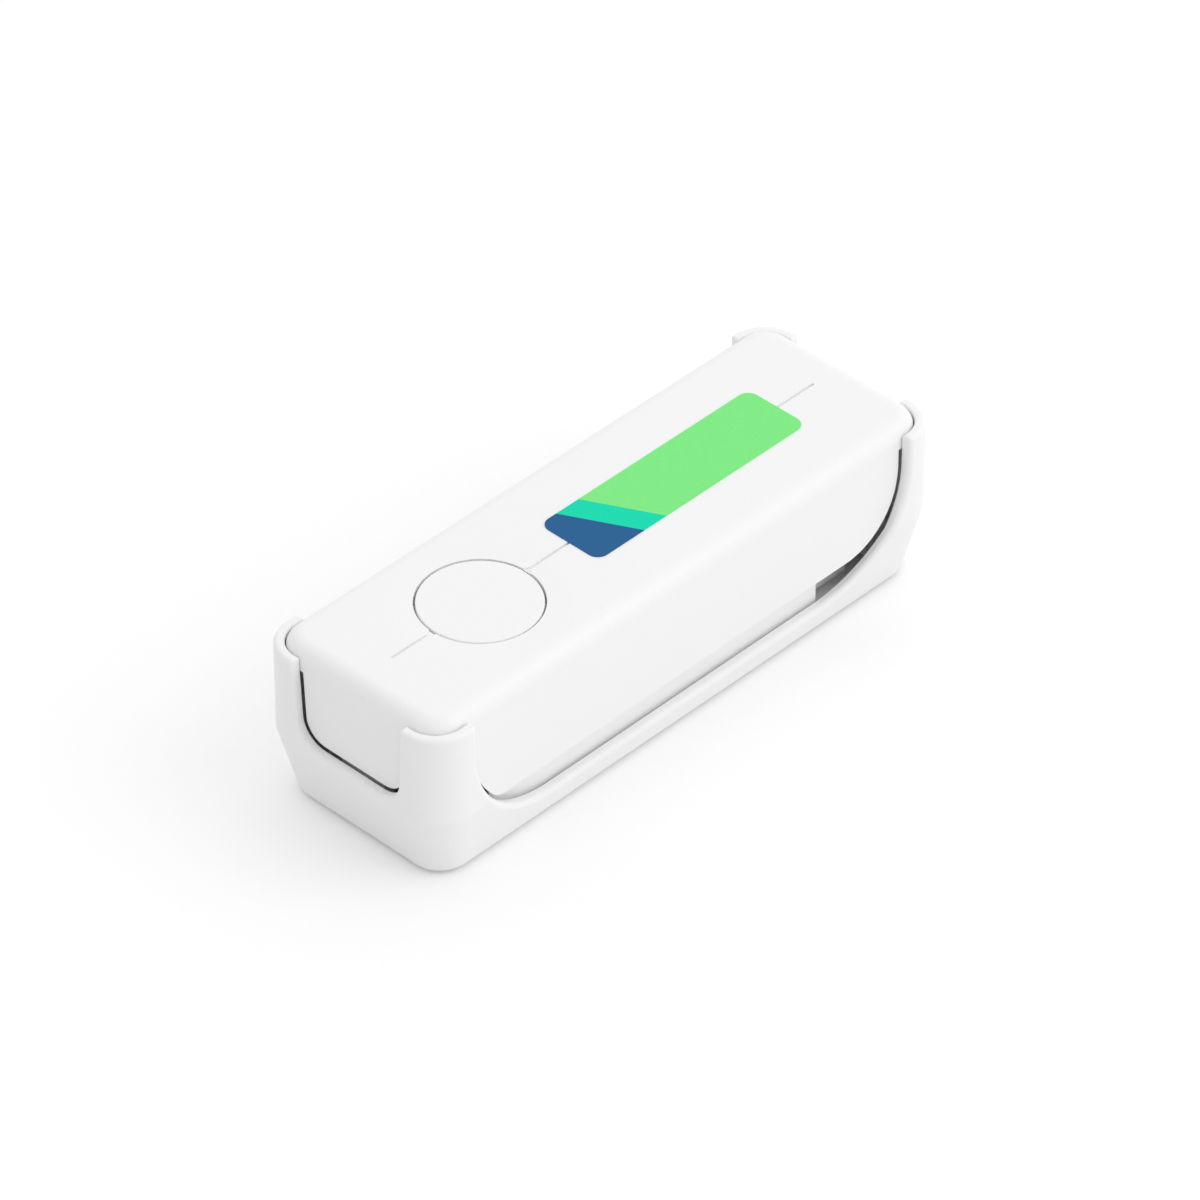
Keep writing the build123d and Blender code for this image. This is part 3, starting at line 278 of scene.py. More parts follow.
def solder_mask_board(name, mask, track_pitch, via_spacing, pads=False):
    """Glass-fibre board under a satin solder mask: raised copper tracks, tinned holes and bare sawn edges.

    The pitch of the tracks and the spacing of the holes are given in millimetres. The pads are the gilt
    ones on the radio module's long edges.
    """
    block_width, via_radius, fibre_layer, copper_relief = 7, 0.3, 0.2, 0.035
    material, tree, place = new_material(name)
    # blocks of board, in each of which the tracks run one way
    blocks = add_node(
        tree, "ShaderNodeTexVoronoi", {"voronoi_dimensions": "2D", "distance": "CHEBYCHEV"},
        {"Scale": 1 / (block_width * MM), "Randomness": 0.8}, {"Vector": place},
    )
    pick = add_node(tree, "ShaderNodeSeparateXYZ", links={"Vector": blocks.outputs["Color"]})
    turned = add_node(
        tree, "ShaderNodeMath", {"operation": "GREATER_THAN"}, {1: 0.5}, {0: pick.outputs["X"]}
    )
    tracks = []
    for direction in ("X", "Y"):
        wave = add_node(
            tree, "ShaderNodeTexWave", {"bands_direction": direction},
            {"Scale": WAVE_REPEAT / (track_pitch * MM), "Distortion": 0.0}, {"Vector": place},
        )
        tracks.append(wave.outputs["Fac"])
    track = add_node(
        tree, "ShaderNodeMix", {"data_type": "FLOAT"},
        links={0: turned.outputs[0], NUMBER_A: tracks[0], NUMBER_B: tracks[1]},
    )
    # half of each wave is copper, with steep flanks
    copper = add_node(
        tree, "ShaderNodeMapRange", inputs={"From Min": 0.42, "From Max": 0.58},
        links={"Value": track.outputs[0]},
    ).outputs["Result"]
    holes = add_node(
        tree, "ShaderNodeTexVoronoi", {"voronoi_dimensions": "2D"},
        {"Scale": 1 / (via_spacing * MM), "Randomness": 0.7}, {"Vector": place},
    )
    tin = add_node(
        tree, "ShaderNodeMath", {"operation": "LESS_THAN"}, {1: via_radius / via_spacing},
        {0: holes.outputs["Distance"]},
    ).outputs[0]
    if pads:
        pad_depth, pad_half_width = 0.9, 0.45
        half_pitch = MODULE_PAD_PITCH * MM / 2
        edge_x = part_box("wifi_module_board")[1][0]
        axes = add_node(tree, "ShaderNodeSeparateXYZ", links={"Vector": place})
        beside = add_node(tree, "ShaderNodeMath", {"operation": "ABSOLUTE"}, links={0: axes.outputs["X"]})
        pad = add_node(
            tree, "ShaderNodeMath", {"operation": "GREATER_THAN"}, {1: edge_x - pad_depth * MM},
            {0: beside.outputs[0]},
        )
        steps = add_node(
            tree, "ShaderNodeMath", {"operation": "SUBTRACT"}, {1: middle("wifi_module_shield").y},
            {0: axes.outputs["Y"]},
        )
        step = add_node(
            tree, "ShaderNodeMath", {"operation": "WRAP"}, {1: 2 * half_pitch, 2: 0.0}, {0: steps.outputs[0]}
        )
        in_step = add_node(
            tree, "ShaderNodeMath", {"operation": "COMPARE"}, {1: half_pitch, 2: pad_half_width * MM},
            {0: step.outputs[0]},
        )
        in_row = add_node(
            tree, "ShaderNodeMath", {"operation": "COMPARE"}, {1: 0.0, 2: MODULE_PADS * half_pitch},
            {0: steps.outputs[0]},
        )
        for part in (in_step, in_row):
            pad = add_node(
                tree, "ShaderNodeMath", {"operation": "MULTIPLY"},
                links={0: pad.outputs[0], 1: part.outputs[0]},
            )
        tin = add_node(
            tree, "ShaderNodeMath", {"operation": "MAXIMUM"}, links={0: tin, 1: pad.outputs[0]}
        ).outputs[0]
    # the mask looks paler over copper
    masked = add_node(
        tree, "ShaderNodeMix", {"data_type": "RGBA"},
        {COLOUR_A: linear(mask), COLOUR_B: paler(linear(mask), 1.9)}, {0: copper},
    )
    plated = add_node(
        tree, "ShaderNodeMix", {"data_type": "RGBA"}, {COLOUR_B: linear("D9C48A" if pads else "C9CACB")},
        {0: tin, COLOUR_A: masked.outputs[COLOUR_MIX]},
    )
    # sawn edges show the pale glass fibre in its layers
    facing = add_node(
        tree, "ShaderNodeSeparateXYZ", links={"Vector": add_node(tree, "ShaderNodeTexCoord").outputs["Normal"]}
    )
    upright = add_node(tree, "ShaderNodeMath", {"operation": "ABSOLUTE"}, links={0: facing.outputs["Z"]})
    sawn = add_node(
        tree, "ShaderNodeMath", {"operation": "LESS_THAN"}, {1: 0.5}, {0: upright.outputs[0]}
    ).outputs[0]
    layers = add_node(
        tree, "ShaderNodeTexWave", {"bands_direction": "Z"},
        {"Scale": WAVE_REPEAT / (fibre_layer * MM), "Distortion": 2.0, "Detail": 2.0}, {"Vector": place},
    )
    fibre = add_node(
        tree, "ShaderNodeMix", {"data_type": "RGBA"},
        {COLOUR_A: linear("A9A76F"), COLOUR_B: linear("C9C79A")}, {0: layers.outputs["Fac"]},
    )
    tone = add_node(
        tree, "ShaderNodeMix", {"data_type": "RGBA"},
        links={0: sawn, COLOUR_A: plated.outputs[COLOUR_MIX], COLOUR_B: fibre.outputs[COLOUR_MIX]},
    )
    metal = add_node(
        tree, "ShaderNodeMath", {"operation": "SUBTRACT", "use_clamp": True}, links={0: tin, 1: sawn}
    )
    return close_material(
        material, {"IOR": 1.5}, tone.outputs[COLOUR_MIX], sawn, dullness=(0.34, 0.7),
        metal=metal.outputs[0], bump=copper, strength=0.5, relief=copper_relief,
    )


def tinned_ends(name, colour, metal_colour, centre_x, pitch, body, roughness, speck):
    """A fired or moulded body with tinned ends: the parts stand in columns, with metal past each one's body.

    The pitch of the columns, the length of the bare body along X and the specks are given in millimetres.
    """
    material, tree, place = new_material(name)
    axes = add_node(tree, "ShaderNodeSeparateXYZ", links={"Vector": place})
    steps = add_node(
        tree, "ShaderNodeMath", {"operation": "SUBTRACT"}, {1: centre_x}, {0: axes.outputs["X"]}
    )
    step = add_node(
        tree, "ShaderNodeMath", {"operation": "WRAP"}, {1: pitch * MM / 2, 2: -pitch * MM / 2},
        {0: steps.outputs[0]},
    )
    out = add_node(tree, "ShaderNodeMath", {"operation": "ABSOLUTE"}, links={0: step.outputs[0]})
    tin = add_node(
        tree, "ShaderNodeMath", {"operation": "GREATER_THAN"}, {1: body * MM / 2}, {0: out.outputs[0]}
    ).outputs[0]
    specks = add_node(
        tree, "ShaderNodeTexNoise", inputs={"Scale": 1 / (speck * MM), "Detail": 3.0},
        links={"Vector": place},
    ).outputs["Fac"]
    grainy = add_node(
        tree, "ShaderNodeMix", {"data_type": "RGBA"},
        {COLOUR_A: linear(colour), COLOUR_B: paler(linear(colour), 1.25)}, {0: specks},
    )
    tone = add_node(
        tree, "ShaderNodeMix", {"data_type": "RGBA"}, {COLOUR_B: linear(metal_colour)},
        {0: tin, COLOUR_A: grainy.outputs[COLOUR_MIX]},
    )
    return close_material(
        material, {"IOR": 1.55}, tone.outputs[COLOUR_MIX], tin, dullness=(roughness, 0.3),
        metal=tin, bump=specks, strength=0.3, relief=0.01,
    )


def stretched_film(name, colour, roughness, ripple, coat):
    """Thin plastic film pulled or shrunk tight: glossy, with shallow ripples one after the other along Y.

    The distance between the ripples is given in millimetres.
    """
    cloud_width, ripple_relief = 5, 0.05
    material, tree, place = new_material(name)
    ripples = add_node(
        tree, "ShaderNodeTexWave", {"bands_direction": "Y"},
        {"Scale": WAVE_REPEAT / (ripple * MM), "Distortion": 6.0, "Detail": 3.0, "Detail Scale": 0.6},
        {"Vector": place},
    ).outputs["Fac"]
    clouds = add_node(
        tree, "ShaderNodeTexNoise", inputs={"Scale": 1 / (cloud_width * MM), "Detail": 2.0},
        links={"Vector": place},
    ).outputs["Fac"]
    return close_material(
        material, {"IOR": 1.54, "Coat Weight": coat, "Coat Roughness": 0.08},
        uneven_tone(tree, colour, clouds, 0.9, 1.08), ripples, dullness=(roughness, roughness + 0.12),
        bump=ripples, strength=0.2, relief=ripple_relief,
    )


def lamp_resin(name):
    """Surface-mount lamp: a white body, and a cast lens of clear resin over yellow powder."""
    body_height, powder_grain = 0.5, 0.15
    material, tree, place = new_material(name)
    lens_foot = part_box("status_led")[0][2] + body_height * MM
    axes = add_node(tree, "ShaderNodeSeparateXYZ", links={"Vector": place})
    lens = add_node(
        tree, "ShaderNodeMath", {"operation": "GREATER_THAN"}, {1: lens_foot}, {0: axes.outputs["Z"]}
    ).outputs[0]
    powder = add_node(
        tree, "ShaderNodeTexNoise", inputs={"Scale": 1 / (powder_grain * MM), "Detail": 2.0},
        links={"Vector": place},
    ).outputs["Fac"]
    yellow = add_node(
        tree, "ShaderNodeMix", {"data_type": "RGBA"},
        {COLOUR_A: linear("E8DE8C"), COLOUR_B: linear("F2ECB4")}, {0: powder},
    )
    tone = add_node(
        tree, "ShaderNodeMix", {"data_type": "RGBA"}, {COLOUR_A: linear("EDEDE8")},
        {0: lens, COLOUR_B: yellow.outputs[COLOUR_MIX]},
    )
    return close_material(
        material, {"IOR": 1.54, "Coat Weight": 0.4, "Coat Roughness": 0.05}, tone.outputs[COLOUR_MIX],
        lens, dullness=(0.45, 0.08),
    )


def turned_mesh(name, profile, steps):
    """A closed mesh from a profile of (radius, height), turned about Z, whose two ends are on the axis."""
    shape = bmesh.new()
    angles = [2 * math.pi * i / steps for i in range(steps)]
    rings = []
    for radius, height in profile:
        if radius == 0:
            rings.append([shape.verts.new((0, 0, height))] * steps)
            continue
        rings.append([
            shape.verts.new((radius * math.cos(angle), radius * math.sin(angle), height)) for angle in angles
        ])
    for first, second in zip(rings, rings[1:]):
        for i in range(steps):
            j = (i + 1) % steps
            corners = dict.fromkeys((first[i], first[j], second[j], second[i]))
            shape.faces.new(list(corners)).smooth = True
    bmesh.ops.recalc_face_normals(shape, faces=shape.faces)
    mesh = bpy.data.meshes.new(name)
    shape.to_mesh(mesh)
    shape.free()
    return mesh


def node_group(name, sizes):
    """An empty Geometry Nodes tree that takes a geometry, sizes and a material, and its two end nodes."""
    tree = bpy.data.node_groups.new(name, "GeometryNodeTree")
    kinds = {"Geometry": "Geometry", **dict.fromkeys(sizes, "Float"), "Material": "Material"}
    for label, kind in kinds.items():
        tree.interface.new_socket(label, in_out="INPUT", socket_type=f"NodeSocket{kind}")
    tree.interface.new_socket("Geometry", in_out="OUTPUT", socket_type="NodeSocketGeometry")
    return tree, tree.nodes.new("NodeGroupInput"), tree.nodes.new("NodeGroupOutput")


def close_group(tree, given, result, links):
    """End a Geometry Nodes tree: a copy at each point, made real, with the tree's material."""
    copies = add_node(tree, "GeometryNodeInstanceOnPoints", links=links)
    real = add_node(tree, "GeometryNodeRealizeInstances", links={"Geometry": copies.outputs["Instances"]})
    finished = add_node(
        tree, "GeometryNodeSetMaterial",
        links={"Geometry": real.outputs["Geometry"], "Material": given.outputs["Material"]},
    )
    tree.links.new(finished.outputs["Geometry"], result.inputs["Geometry"])
    return tree


def grow(name, seed_mesh, tree, values):
    """Run a Geometry Nodes tree on a mesh, and return its result as an object with a plain mesh."""
    seed = add_object(name, seed_mesh)
    modifier = seed.modifiers.new(tree.name, "NODES")
    modifier.node_group = tree
    for item in tree.interface.items_tree:
        if item.item_type == "SOCKET" and item.in_out == "INPUT" and item.name in values:
            modifier[item.identifier] = values[item.name]
    bpy.context.view_layer.update()
    grown = bpy.data.meshes.new_from_object(seed.evaluated_get(bpy.context.evaluated_depsgraph_get()))
    seed.modifiers.clear()
    seed.data = grown
    grown.name = name
    # every face has the one material, which comes out of the tree behind an empty slot
    grown.materials.clear()
    grown.materials.append(values["Material"])
    grown.polygons.foreach_set("material_index", [0] * len(grown.polygons))
    if not grown.polygons:
        raise RuntimeError(f"{name} has no faces")
    return seed


def thread_tree():
    """Screws: a threaded ridge round the shank of the one screw that comes in, and a copy at each corner."""
    tree, given, result = node_group("self_tapping_screws", (
        "Spacing X", "Spacing Y", "Pitch", "Turns", "Core Radius", "Tip Radius", "Ridge", "Start"
    ))
    rise = add_node(
        tree, "ShaderNodeMath", {"operation": "MULTIPLY"},
        links={0: given.outputs["Pitch"], 1: given.outputs["Turns"]},
    )
    helix = add_node(
        tree, "GeometryNodeCurveSpiral", inputs={"Resolution": 28},
        links={"Rotations": given.outputs["Turns"], "Start Radius": given.outputs["Core Radius"],
               "End Radius": given.outputs["Tip Radius"], "Height": rise.outputs[0]},
    )
    lift = add_node(tree, "ShaderNodeCombineXYZ", links={"Z": given.outputs["Start"]})
    raised = add_node(
        tree, "GeometryNodeTransform",
        links={"Geometry": helix.outputs["Curve"], "Translation": lift.outputs["Vector"]},
    )
    section = add_node(
        tree, "GeometryNodeCurvePrimitiveCircle", inputs={"Resolution": 3},
        links={"Radius": given.outputs["Ridge"]},
    )
    ridge = add_node(
        tree, "GeometryNodeCurveToMesh", inputs={"Fill Caps": True},
        links={"Curve": raised.outputs["Geometry"], "Profile Curve": section.outputs["Curve"]},
    )
    screw = add_node(tree, "GeometryNodeJoinGeometry")
    tree.links.new(given.outputs["Geometry"], screw.inputs["Geometry"])
    tree.links.new(ridge.outputs["Mesh"], screw.inputs["Geometry"])
    corners = add_node(
        tree, "GeometryNodeMeshGrid", inputs={"Vertices X": 2, "Vertices Y": 2},
        links={"Size X": given.outputs["Spacing X"], "Size Y": given.outputs["Spacing Y"]},
    )
    return close_group(
        tree, given, result, {"Points": corners.outputs["Mesh"], "Instance": screw.outputs["Geometry"]}
    )


def solder_tree():
    """Solder: at each point that comes in, a hollow-sided bead of the point's own size, on its flat foot."""
    tree, given, result = node_group("solder_joints", ("Neck",))
    drum = add_node(
        tree, "GeometryNodeMeshCylinder", {"fill_type": "TRIANGLE_FAN"},
        {"Vertices": 10, "Side Segments": 3, "Fill Segments": 1, "Radius": 0.5, "Depth": 1.0},
    )
    spot = add_node(tree, "GeometryNodeInputPosition")
    axes = add_node(tree, "ShaderNodeSeparateXYZ", links={"Vector": spot.outputs["Position"]})
    # 1 at the foot of the bead and 0 at its top, squared, so that its side is hollow
    drop = add_node(tree, "ShaderNodeMath", {"operation": "SUBTRACT"}, {0: 0.5}, {1: axes.outputs["Z"]})
    hollow = add_node(tree, "ShaderNodeMath", {"operation": "POWER"}, {1: 2.0}, {0: drop.outputs[0]})
    girth = add_node(
        tree, "ShaderNodeMapRange", inputs={"To Max": 1.0},
        links={"Value": hollow.outputs[0], "To Min": given.outputs["Neck"]},
    )
    shaped = add_node(tree, "ShaderNodeCombineXYZ")
    for axis in ("X", "Y"):
        side = add_node(
            tree, "ShaderNodeMath", {"operation": "MULTIPLY"},
            links={0: axes.outputs[axis], 1: girth.outputs["Result"]},
        )
        tree.links.new(side.outputs[0], shaped.inputs[axis])
    # the drum is centred on the origin, and the bead stands on its foot there
    high = add_node(tree, "ShaderNodeMath", {"operation": "ADD"}, {1: 0.5}, {0: axes.outputs["Z"]})
    tree.links.new(high.outputs[0], shaped.inputs["Z"])
    bead = add_node(
        tree, "GeometryNodeSetPosition",
        links={"Geometry": drum.outputs["Mesh"], "Position": shaped.outputs["Vector"]},
    )
    smooth = add_node(tree, "GeometryNodeSetShadeSmooth", links={"Geometry": bead.outputs["Geometry"]})
    links = {"Points": given.outputs["Geometry"], "Instance": smooth.outputs["Geometry"]}
    for socket, attribute in (("Scale", "bead_size"), ("Rotation", "bead_turn")):
        links[socket] = add_node(
            tree, "GeometryNodeInputNamedAttribute", {"data_type": "FLOAT_VECTOR"}, {"Name": attribute}
        ).outputs["Attribute"]
    return close_group(tree, given, result, links)


def end_beads(left, right, middle_y, count, pitch, level, bead, turn):
    """Beads in a row along Y at each end of a part: where each is, its size and its turn.

    The pitch of a row and the size of a bead are given in millimetres, and the rest in metres and radians.
    """
    return [
        ((x, middle_y + (row - (count - 1) / 2) * pitch * MM, level), bead, turn)
        for x in (left, right) for row in range(count)
    ]


def solder_points():
    """Where solder holds each lead and end on the main board, and the module's pads on its underside."""
    upright, hanging = (0.0, 0.0, 0.0), (math.pi, 0.0, 0.0)
    board_low, board_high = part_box("main_board")
    points = []
    for parts in (CAPACITOR, RESISTOR):
        centre = middle(parts["node"])
        columns, rows = parts["count"]
        half_length = parts["size"][0] * MM / 2
        bead = (END_BEAD_LENGTH, parts["size"][1] * END_BEAD_SHARE, END_BEAD_HEIGHT)
        for column in range(columns):
            x = centre.x + (column - (columns - 1) / 2) * parts["pitch"][0] * MM
            points += end_beads(
                x - half_length, x + half_length, centre.y, rows, parts["pitch"][1], board_high[2],
                bead, upright,
            )
    for node, count, pitch, bead in (
        ("charger_chip", CHIP_LEADS, CHIP_LEAD_PITCH, CHIP_BEAD),
        ("regulator_chip", CHIP_LEADS, CHIP_LEAD_PITCH, CHIP_BEAD),
        ("tact_switch_base", SWITCH_LEADS, SWITCH_LEAD_PITCH, SWITCH_BEAD),
        ("status_led", 1, 0, LAMP_BEAD),
        ("charge_led", 1, 0, LAMP_BEAD),
    ):
        low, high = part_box(node)
        points += end_beads(low[0], high[0], middle(node).y, count, pitch, board_high[2], bead, upright)
    low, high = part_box("wifi_module_board")
    points += end_beads(
        low[0], high[0], middle("wifi_module_shield").y, MODULE_PADS, MODULE_PAD_PITCH, board_low[2],
        MODULE_BEAD, hanging,
    )
    return points


class SmartButtonLooks(bpy.types.PropertyGroup):
    """Colours and sizes of the dressed smart button."""

    case_colour: bpy.props.StringProperty(
        name="Case colour", description="sRGB hex of the ABS of tray, cover and button", default="F3F3F3"
    )
    frame_colour: bpy.props.StringProperty(
        name="Frame colour", description="sRGB hex of the ABS of the battery frame and its rail",
        default="F3F3F3",
    )
    label_near: bpy.props.StringProperty(
        name="Label, near band", description="sRGB hex of the ink at the end by the button", default="296193"
    )
    label_middle: bpy.props.StringProperty(
        name="Label, middle band", description="sRGB hex of the narrow band of ink", default="14DAAF"
    )
    label_field: bpy.props.StringProperty(
        name="Label, field", description="sRGB hex of the ink on most of the label", default="80EA84"
    )
    label_edges: bpy.props.FloatVectorProperty(
        name="Label edges", description="Where the bands end at the label's left side, as shares of it",
        size=2, default=(0.076, 0.18),
    )
    label_slant: bpy.props.FloatProperty(
        name="Label slant", description="Share of its length that a band's edge gains across the label",
        default=0.1375, subtype="FACTOR",
    )
    board_colour: bpy.props.StringProperty(
        name="Board colour", description="sRGB hex of the solder mask", default="14532C"
    )
    module_colour: bpy.props.StringProperty(
        name="Module colour", description="sRGB hex of the radio module's solder mask", default="14213A"
    )
    wrap_colour: bpy.props.StringProperty(
        name="Wrap colour", description="sRGB hex of the sleeve shrunk on the cell", default="2B6AA8"
    )
    grain: bpy.props.FloatProperty(
        name="Grain", description="Size of the moulded grain in millimetres", default=0.12, min=0.05, max=2.0
    )
    thread_pitch: bpy.props.FloatProperty(
        name="Thread pitch", description="Rise of the screws' thread in one turn",
        default=0.9 * MM, min=0.3 * MM, unit="LENGTH", precision=5,
    )
    thread_ridge: bpy.props.FloatProperty(
        name="Thread ridge", description="Radius of the screws' three-sided ridge",
        default=0.26 * MM, min=0.05 * MM, unit="LENGTH", precision=5,
    )
    dome_keep: bpy.props.FloatProperty(
        name="Dome keep", description="Share of its height that the snap dome keeps at full press",
        default=0.17, min=0.05, max=1.0, subtype="FACTOR",
    )
    solder_neck: bpy.props.FloatProperty(
        name="Solder neck", description="Width of a solder bead's top as a share of its foot",
        default=0.25, min=0.1, max=1.0, subtype="FACTOR",
    )


class SmartButtonStage(bpy.types.PropertyGroup):
    """Camera and light of the studio."""

    azimuth: bpy.props.FloatProperty(
        name="Azimuth", description="Direction of the camera round the device, from the near end",
        default=math.radians(43.914), unit="ROTATION",
    )
    elevation: bpy.props.FloatProperty(
        name="Elevation", description="Height angle of the camera",
        default=math.radians(39.284), unit="ROTATION",
    )
    distance: bpy.props.FloatProperty(
        name="Distance", description="From the camera to the middle of the picture on the top face",
        default=1.0558, unit="LENGTH",
    )
    sky: bpy.props.FloatProperty(
        name="Sky", description="Strength of the soft white light all round", default=1.05, min=0.0, max=2.0
    )
    sky_fall: bpy.props.FloatProperty(
        name="Sky fall", description="How much weaker the light is from the near end than from overhead",
        default=0.5, min=0.0, max=1.0, subtype="FACTOR",
    )
    lamp_power: bpy.props.FloatProperty(
        name="Lamp power", description="Power of the soft box", default=2.5, min=0.0, unit="POWER"
    )


class SMARTBUTTON_OT_case(bpy.types.Operator):
    """Finish the tray, the cover, the push button, the battery frame and the feet"""

    bl_idname = "smartbutton.case"
    bl_label = "Case"

    def execute(self, context):
        looks = context.scene.smart_button_looks
        for node, name, colour, roughness, relief in (
            # matt white ABS, the tray's tool eroded a little coarser than the cover's
            ("lower_case", "abs_tray_moulded", looks.case_colour, 0.5, 0.012),
            ("upper_cover", "abs_cover_moulded", looks.case_colour, 0.46, 0.01),
            # the cap's tool is finer, so a thumb finds it smoother than the cover
            ("button_cap", "abs_button_moulded", looks.case_colour, 0.42, 0.008),
            # plain ABS with regrind in it, the dullest of the four
            ("battery_frame", "abs_frame_moulded", looks.frame_colour, 0.55, 0.012),
        ):
            dress([node], moulded_plastic(name, colour, roughness, ABS_IOR, looks.grain, relief))
        # soft grey rubber, dull all over and a little rough to the touch
        dress(["rubber_feet"], moulded_plastic(
            "nitrile_rubber_moulded", "A9ABAD", roughness=0.82, ior=1.52, grain=0.3, relief=0.03
        ))
        return {"FINISHED"}


class SMARTBUTTON_OT_label(bpy.types.Operator):
    """Finish the label film with its slanting bands"""

    bl_idname = "smartbutton.label"
    bl_label = "Label"

    def execute(self, context):
        looks = context.scene.smart_button_looks
        inks = (looks.label_near, looks.label_middle, looks.label_field)
        dress(["label_film"], printed_polyester(
            "polyester_label_printed", inks, looks.label_edges, looks.label_slant
        ))
        return {"FINISHED"}


class SMARTBUTTON_OT_boards(bpy.types.Operator):
    """Finish the two boards, the antenna and the film over the cell"""

    bl_idname = "smartbutton.boards"
    bl_label = "Boards"

    def execute(self, context):
        looks = context.scene.smart_button_looks
        # etched copper under the mask shows as slightly raised, paler lines
        dress(["main_board"], solder_mask_board(
            "glass_fibre_board_etched", looks.board_colour, track_pitch=0.9, via_spacing=5.0
        ))
        dress(["wifi_module_board"], solder_mask_board(
            "glass_fibre_module_etched", looks.module_colour, track_pitch=0.6, via_spacing=3.0, pads=True
        ))
        # gold dipped on nickel over etched copper: bright yellow, slightly grainy
        dress(["wifi_module_antenna"], worked_metal(
            "immersion_gold_plated", "E3C277", roughness=0.28, streak=0.1, stretch=EVEN, relief=0.004
        ))
        # amber film, clear enough for its tone to wander over what lies under it
        dress(["insulation_sheet"], stretched_film(
            "polyimide_film_cast", "C4801E", roughness=0.22, ripple=9.0, coat=0.3
        ))
        return {"FINISHED"}


class SMARTBUTTON_OT_cell(bpy.types.Operator):
    """Finish the cell, its contacts and its spring"""

    bl_idname = "smartbutton.cell"
    bl_label = "Cell and contacts"

    def execute(self, context):
        looks = context.scene.smart_button_looks
        # deep-drawn steel, nickel-plated: drawing lines along the can
        dress(["battery_can", "battery_top_cap"], worked_metal(
            "nickel_plated_steel_drawn", "C6C5C0", roughness=0.26, streak=0.2, stretch=ALONG_Y, relief=0.006
        ))
        # PVC sleeve shrunk with hot air: glossy, with faint hoops round the cell
        dress(["battery_wrap"], stretched_film(
            "pvc_sleeve_shrunk", looks.wrap_colour, roughness=0.2, ripple=4.0, coat=0.5
        ))
        # black polypropylene ring crimped under the can's lip: waxy and smooth
        dress(["battery_seal_ring"], moulded_plastic(
            "polypropylene_seal_moulded", "1D1D1E", roughness=0.4, ior=1.49, grain=0.1, relief=0.004
        ))
        # rolled spring strip and drawn wire, nickel-plated: bright, with lines along the upright strip
        dress(["positive_contact", "negative_contact", "negative_spring"], worked_metal(
            "nickel_plated_spring_rolled", "CFCDC6", roughness=0.2, streak=0.15, stretch=(1, 1, 0.08),
            relief=0.004,
        ))
        return {"FINISHED"}


class SMARTBUTTON_OT_components(bpy.types.Operator):
    """Finish the switch, the socket, the lamps, the chips and the small parts on the board"""

    bl_idname = "smartbutton.components"
    bl_label = "Components"

    def execute(self, context):
        # black glass-filled nylon: matt, with the fibres grey at its skin
        dress(["tact_switch_base"], moulded_plastic(
            "glass_filled_nylon_moulded", "232325", roughness=0.6, ior=1.53, grain=0.12, relief=0.01
        ))
        # white acetal: waxy and smooth
        dress(["tact_switch_plunger"], moulded_plastic(
            "acetal_plunger_moulded", "E6E4DC", roughness=0.3, ior=1.48, grain=0.08, relief=0.003
        ))
        # tinplate, stamped and folded: satin, with rolling lines across the case
        dress(["tact_switch_plate", "wifi_module_shield"], worked_metal(
            "tinplate_stamped", "D8D7D3", roughness=0.3, streak=0.25, stretch=ALONG_X, relief=0.006,
            tarnish=0.1,
        ))
        # stainless shell of the socket, rolled and plated with nickel: bright, with lines along the case
        dress(["usb_socket_shell"], worked_metal(
            "nickel_plated_shell_rolled", "CDCCC8", roughness=0.24, streak=0.2, stretch=ALONG_Y, relief=0.005
        ))
        # black liquid-crystal polymer: fine flow lines give it a dull skin
        dress(["usb_socket_tongue"], moulded_plastic(
            "lcp_tongue_moulded", "1B1B1C", roughness=0.5, ior=1.6, grain=0.08, relief=0.005
        ))
        # flash gold on brass contacts: bright and warm
        dress(["usb_socket_contacts"], worked_metal(
            "gold_plated_brass_stamped", "E0B860", roughness=0.2, streak=0.1, stretch=ALONG_Y, relief=0.003
        ))
        dress(["status_led", "charge_led"], lamp_resin("lamp_resin_cast"))
        # black epoxy moulded round the chip, rough from the tool, with tin-plated leads either side;
        # a chip stands alone, so its pitch is wider than the board
        for node, body in (("charger_chip", 3.2), ("regulator_chip", 1.7)):
            dress([node], tinned_ends(
                f"epoxy_{node}_moulded", "202022", "D3D3D0", middle(node).x, pitch=40, body=body,
                roughness=0.55, speck=0.12,
            ))
        # fired ceramic in two columns: tan and fine-grained, with ends dipped in tin
        first_column = middle("board_capacitors").x - CAPACITOR["pitch"][0] * MM / 2
        dress(["board_capacitors"], tinned_ends(
            "ceramic_capacitor_fired", "A9876A", "D6D5D2", first_column, CAPACITOR["pitch"][0], body=1.2,
            roughness=0.4, speck=0.1,
        ))
        # glazed black resistive film on ceramic, with tinned ends
        dress(["board_resistors"], tinned_ends(
            "ceramic_resistor_glazed", "242426", "D6D5D2", middle("board_resistors").x, RESISTOR["pitch"][0],
            body=1.0, roughness=0.28, speck=0.08,
        ))
        return {"FINISHED"}


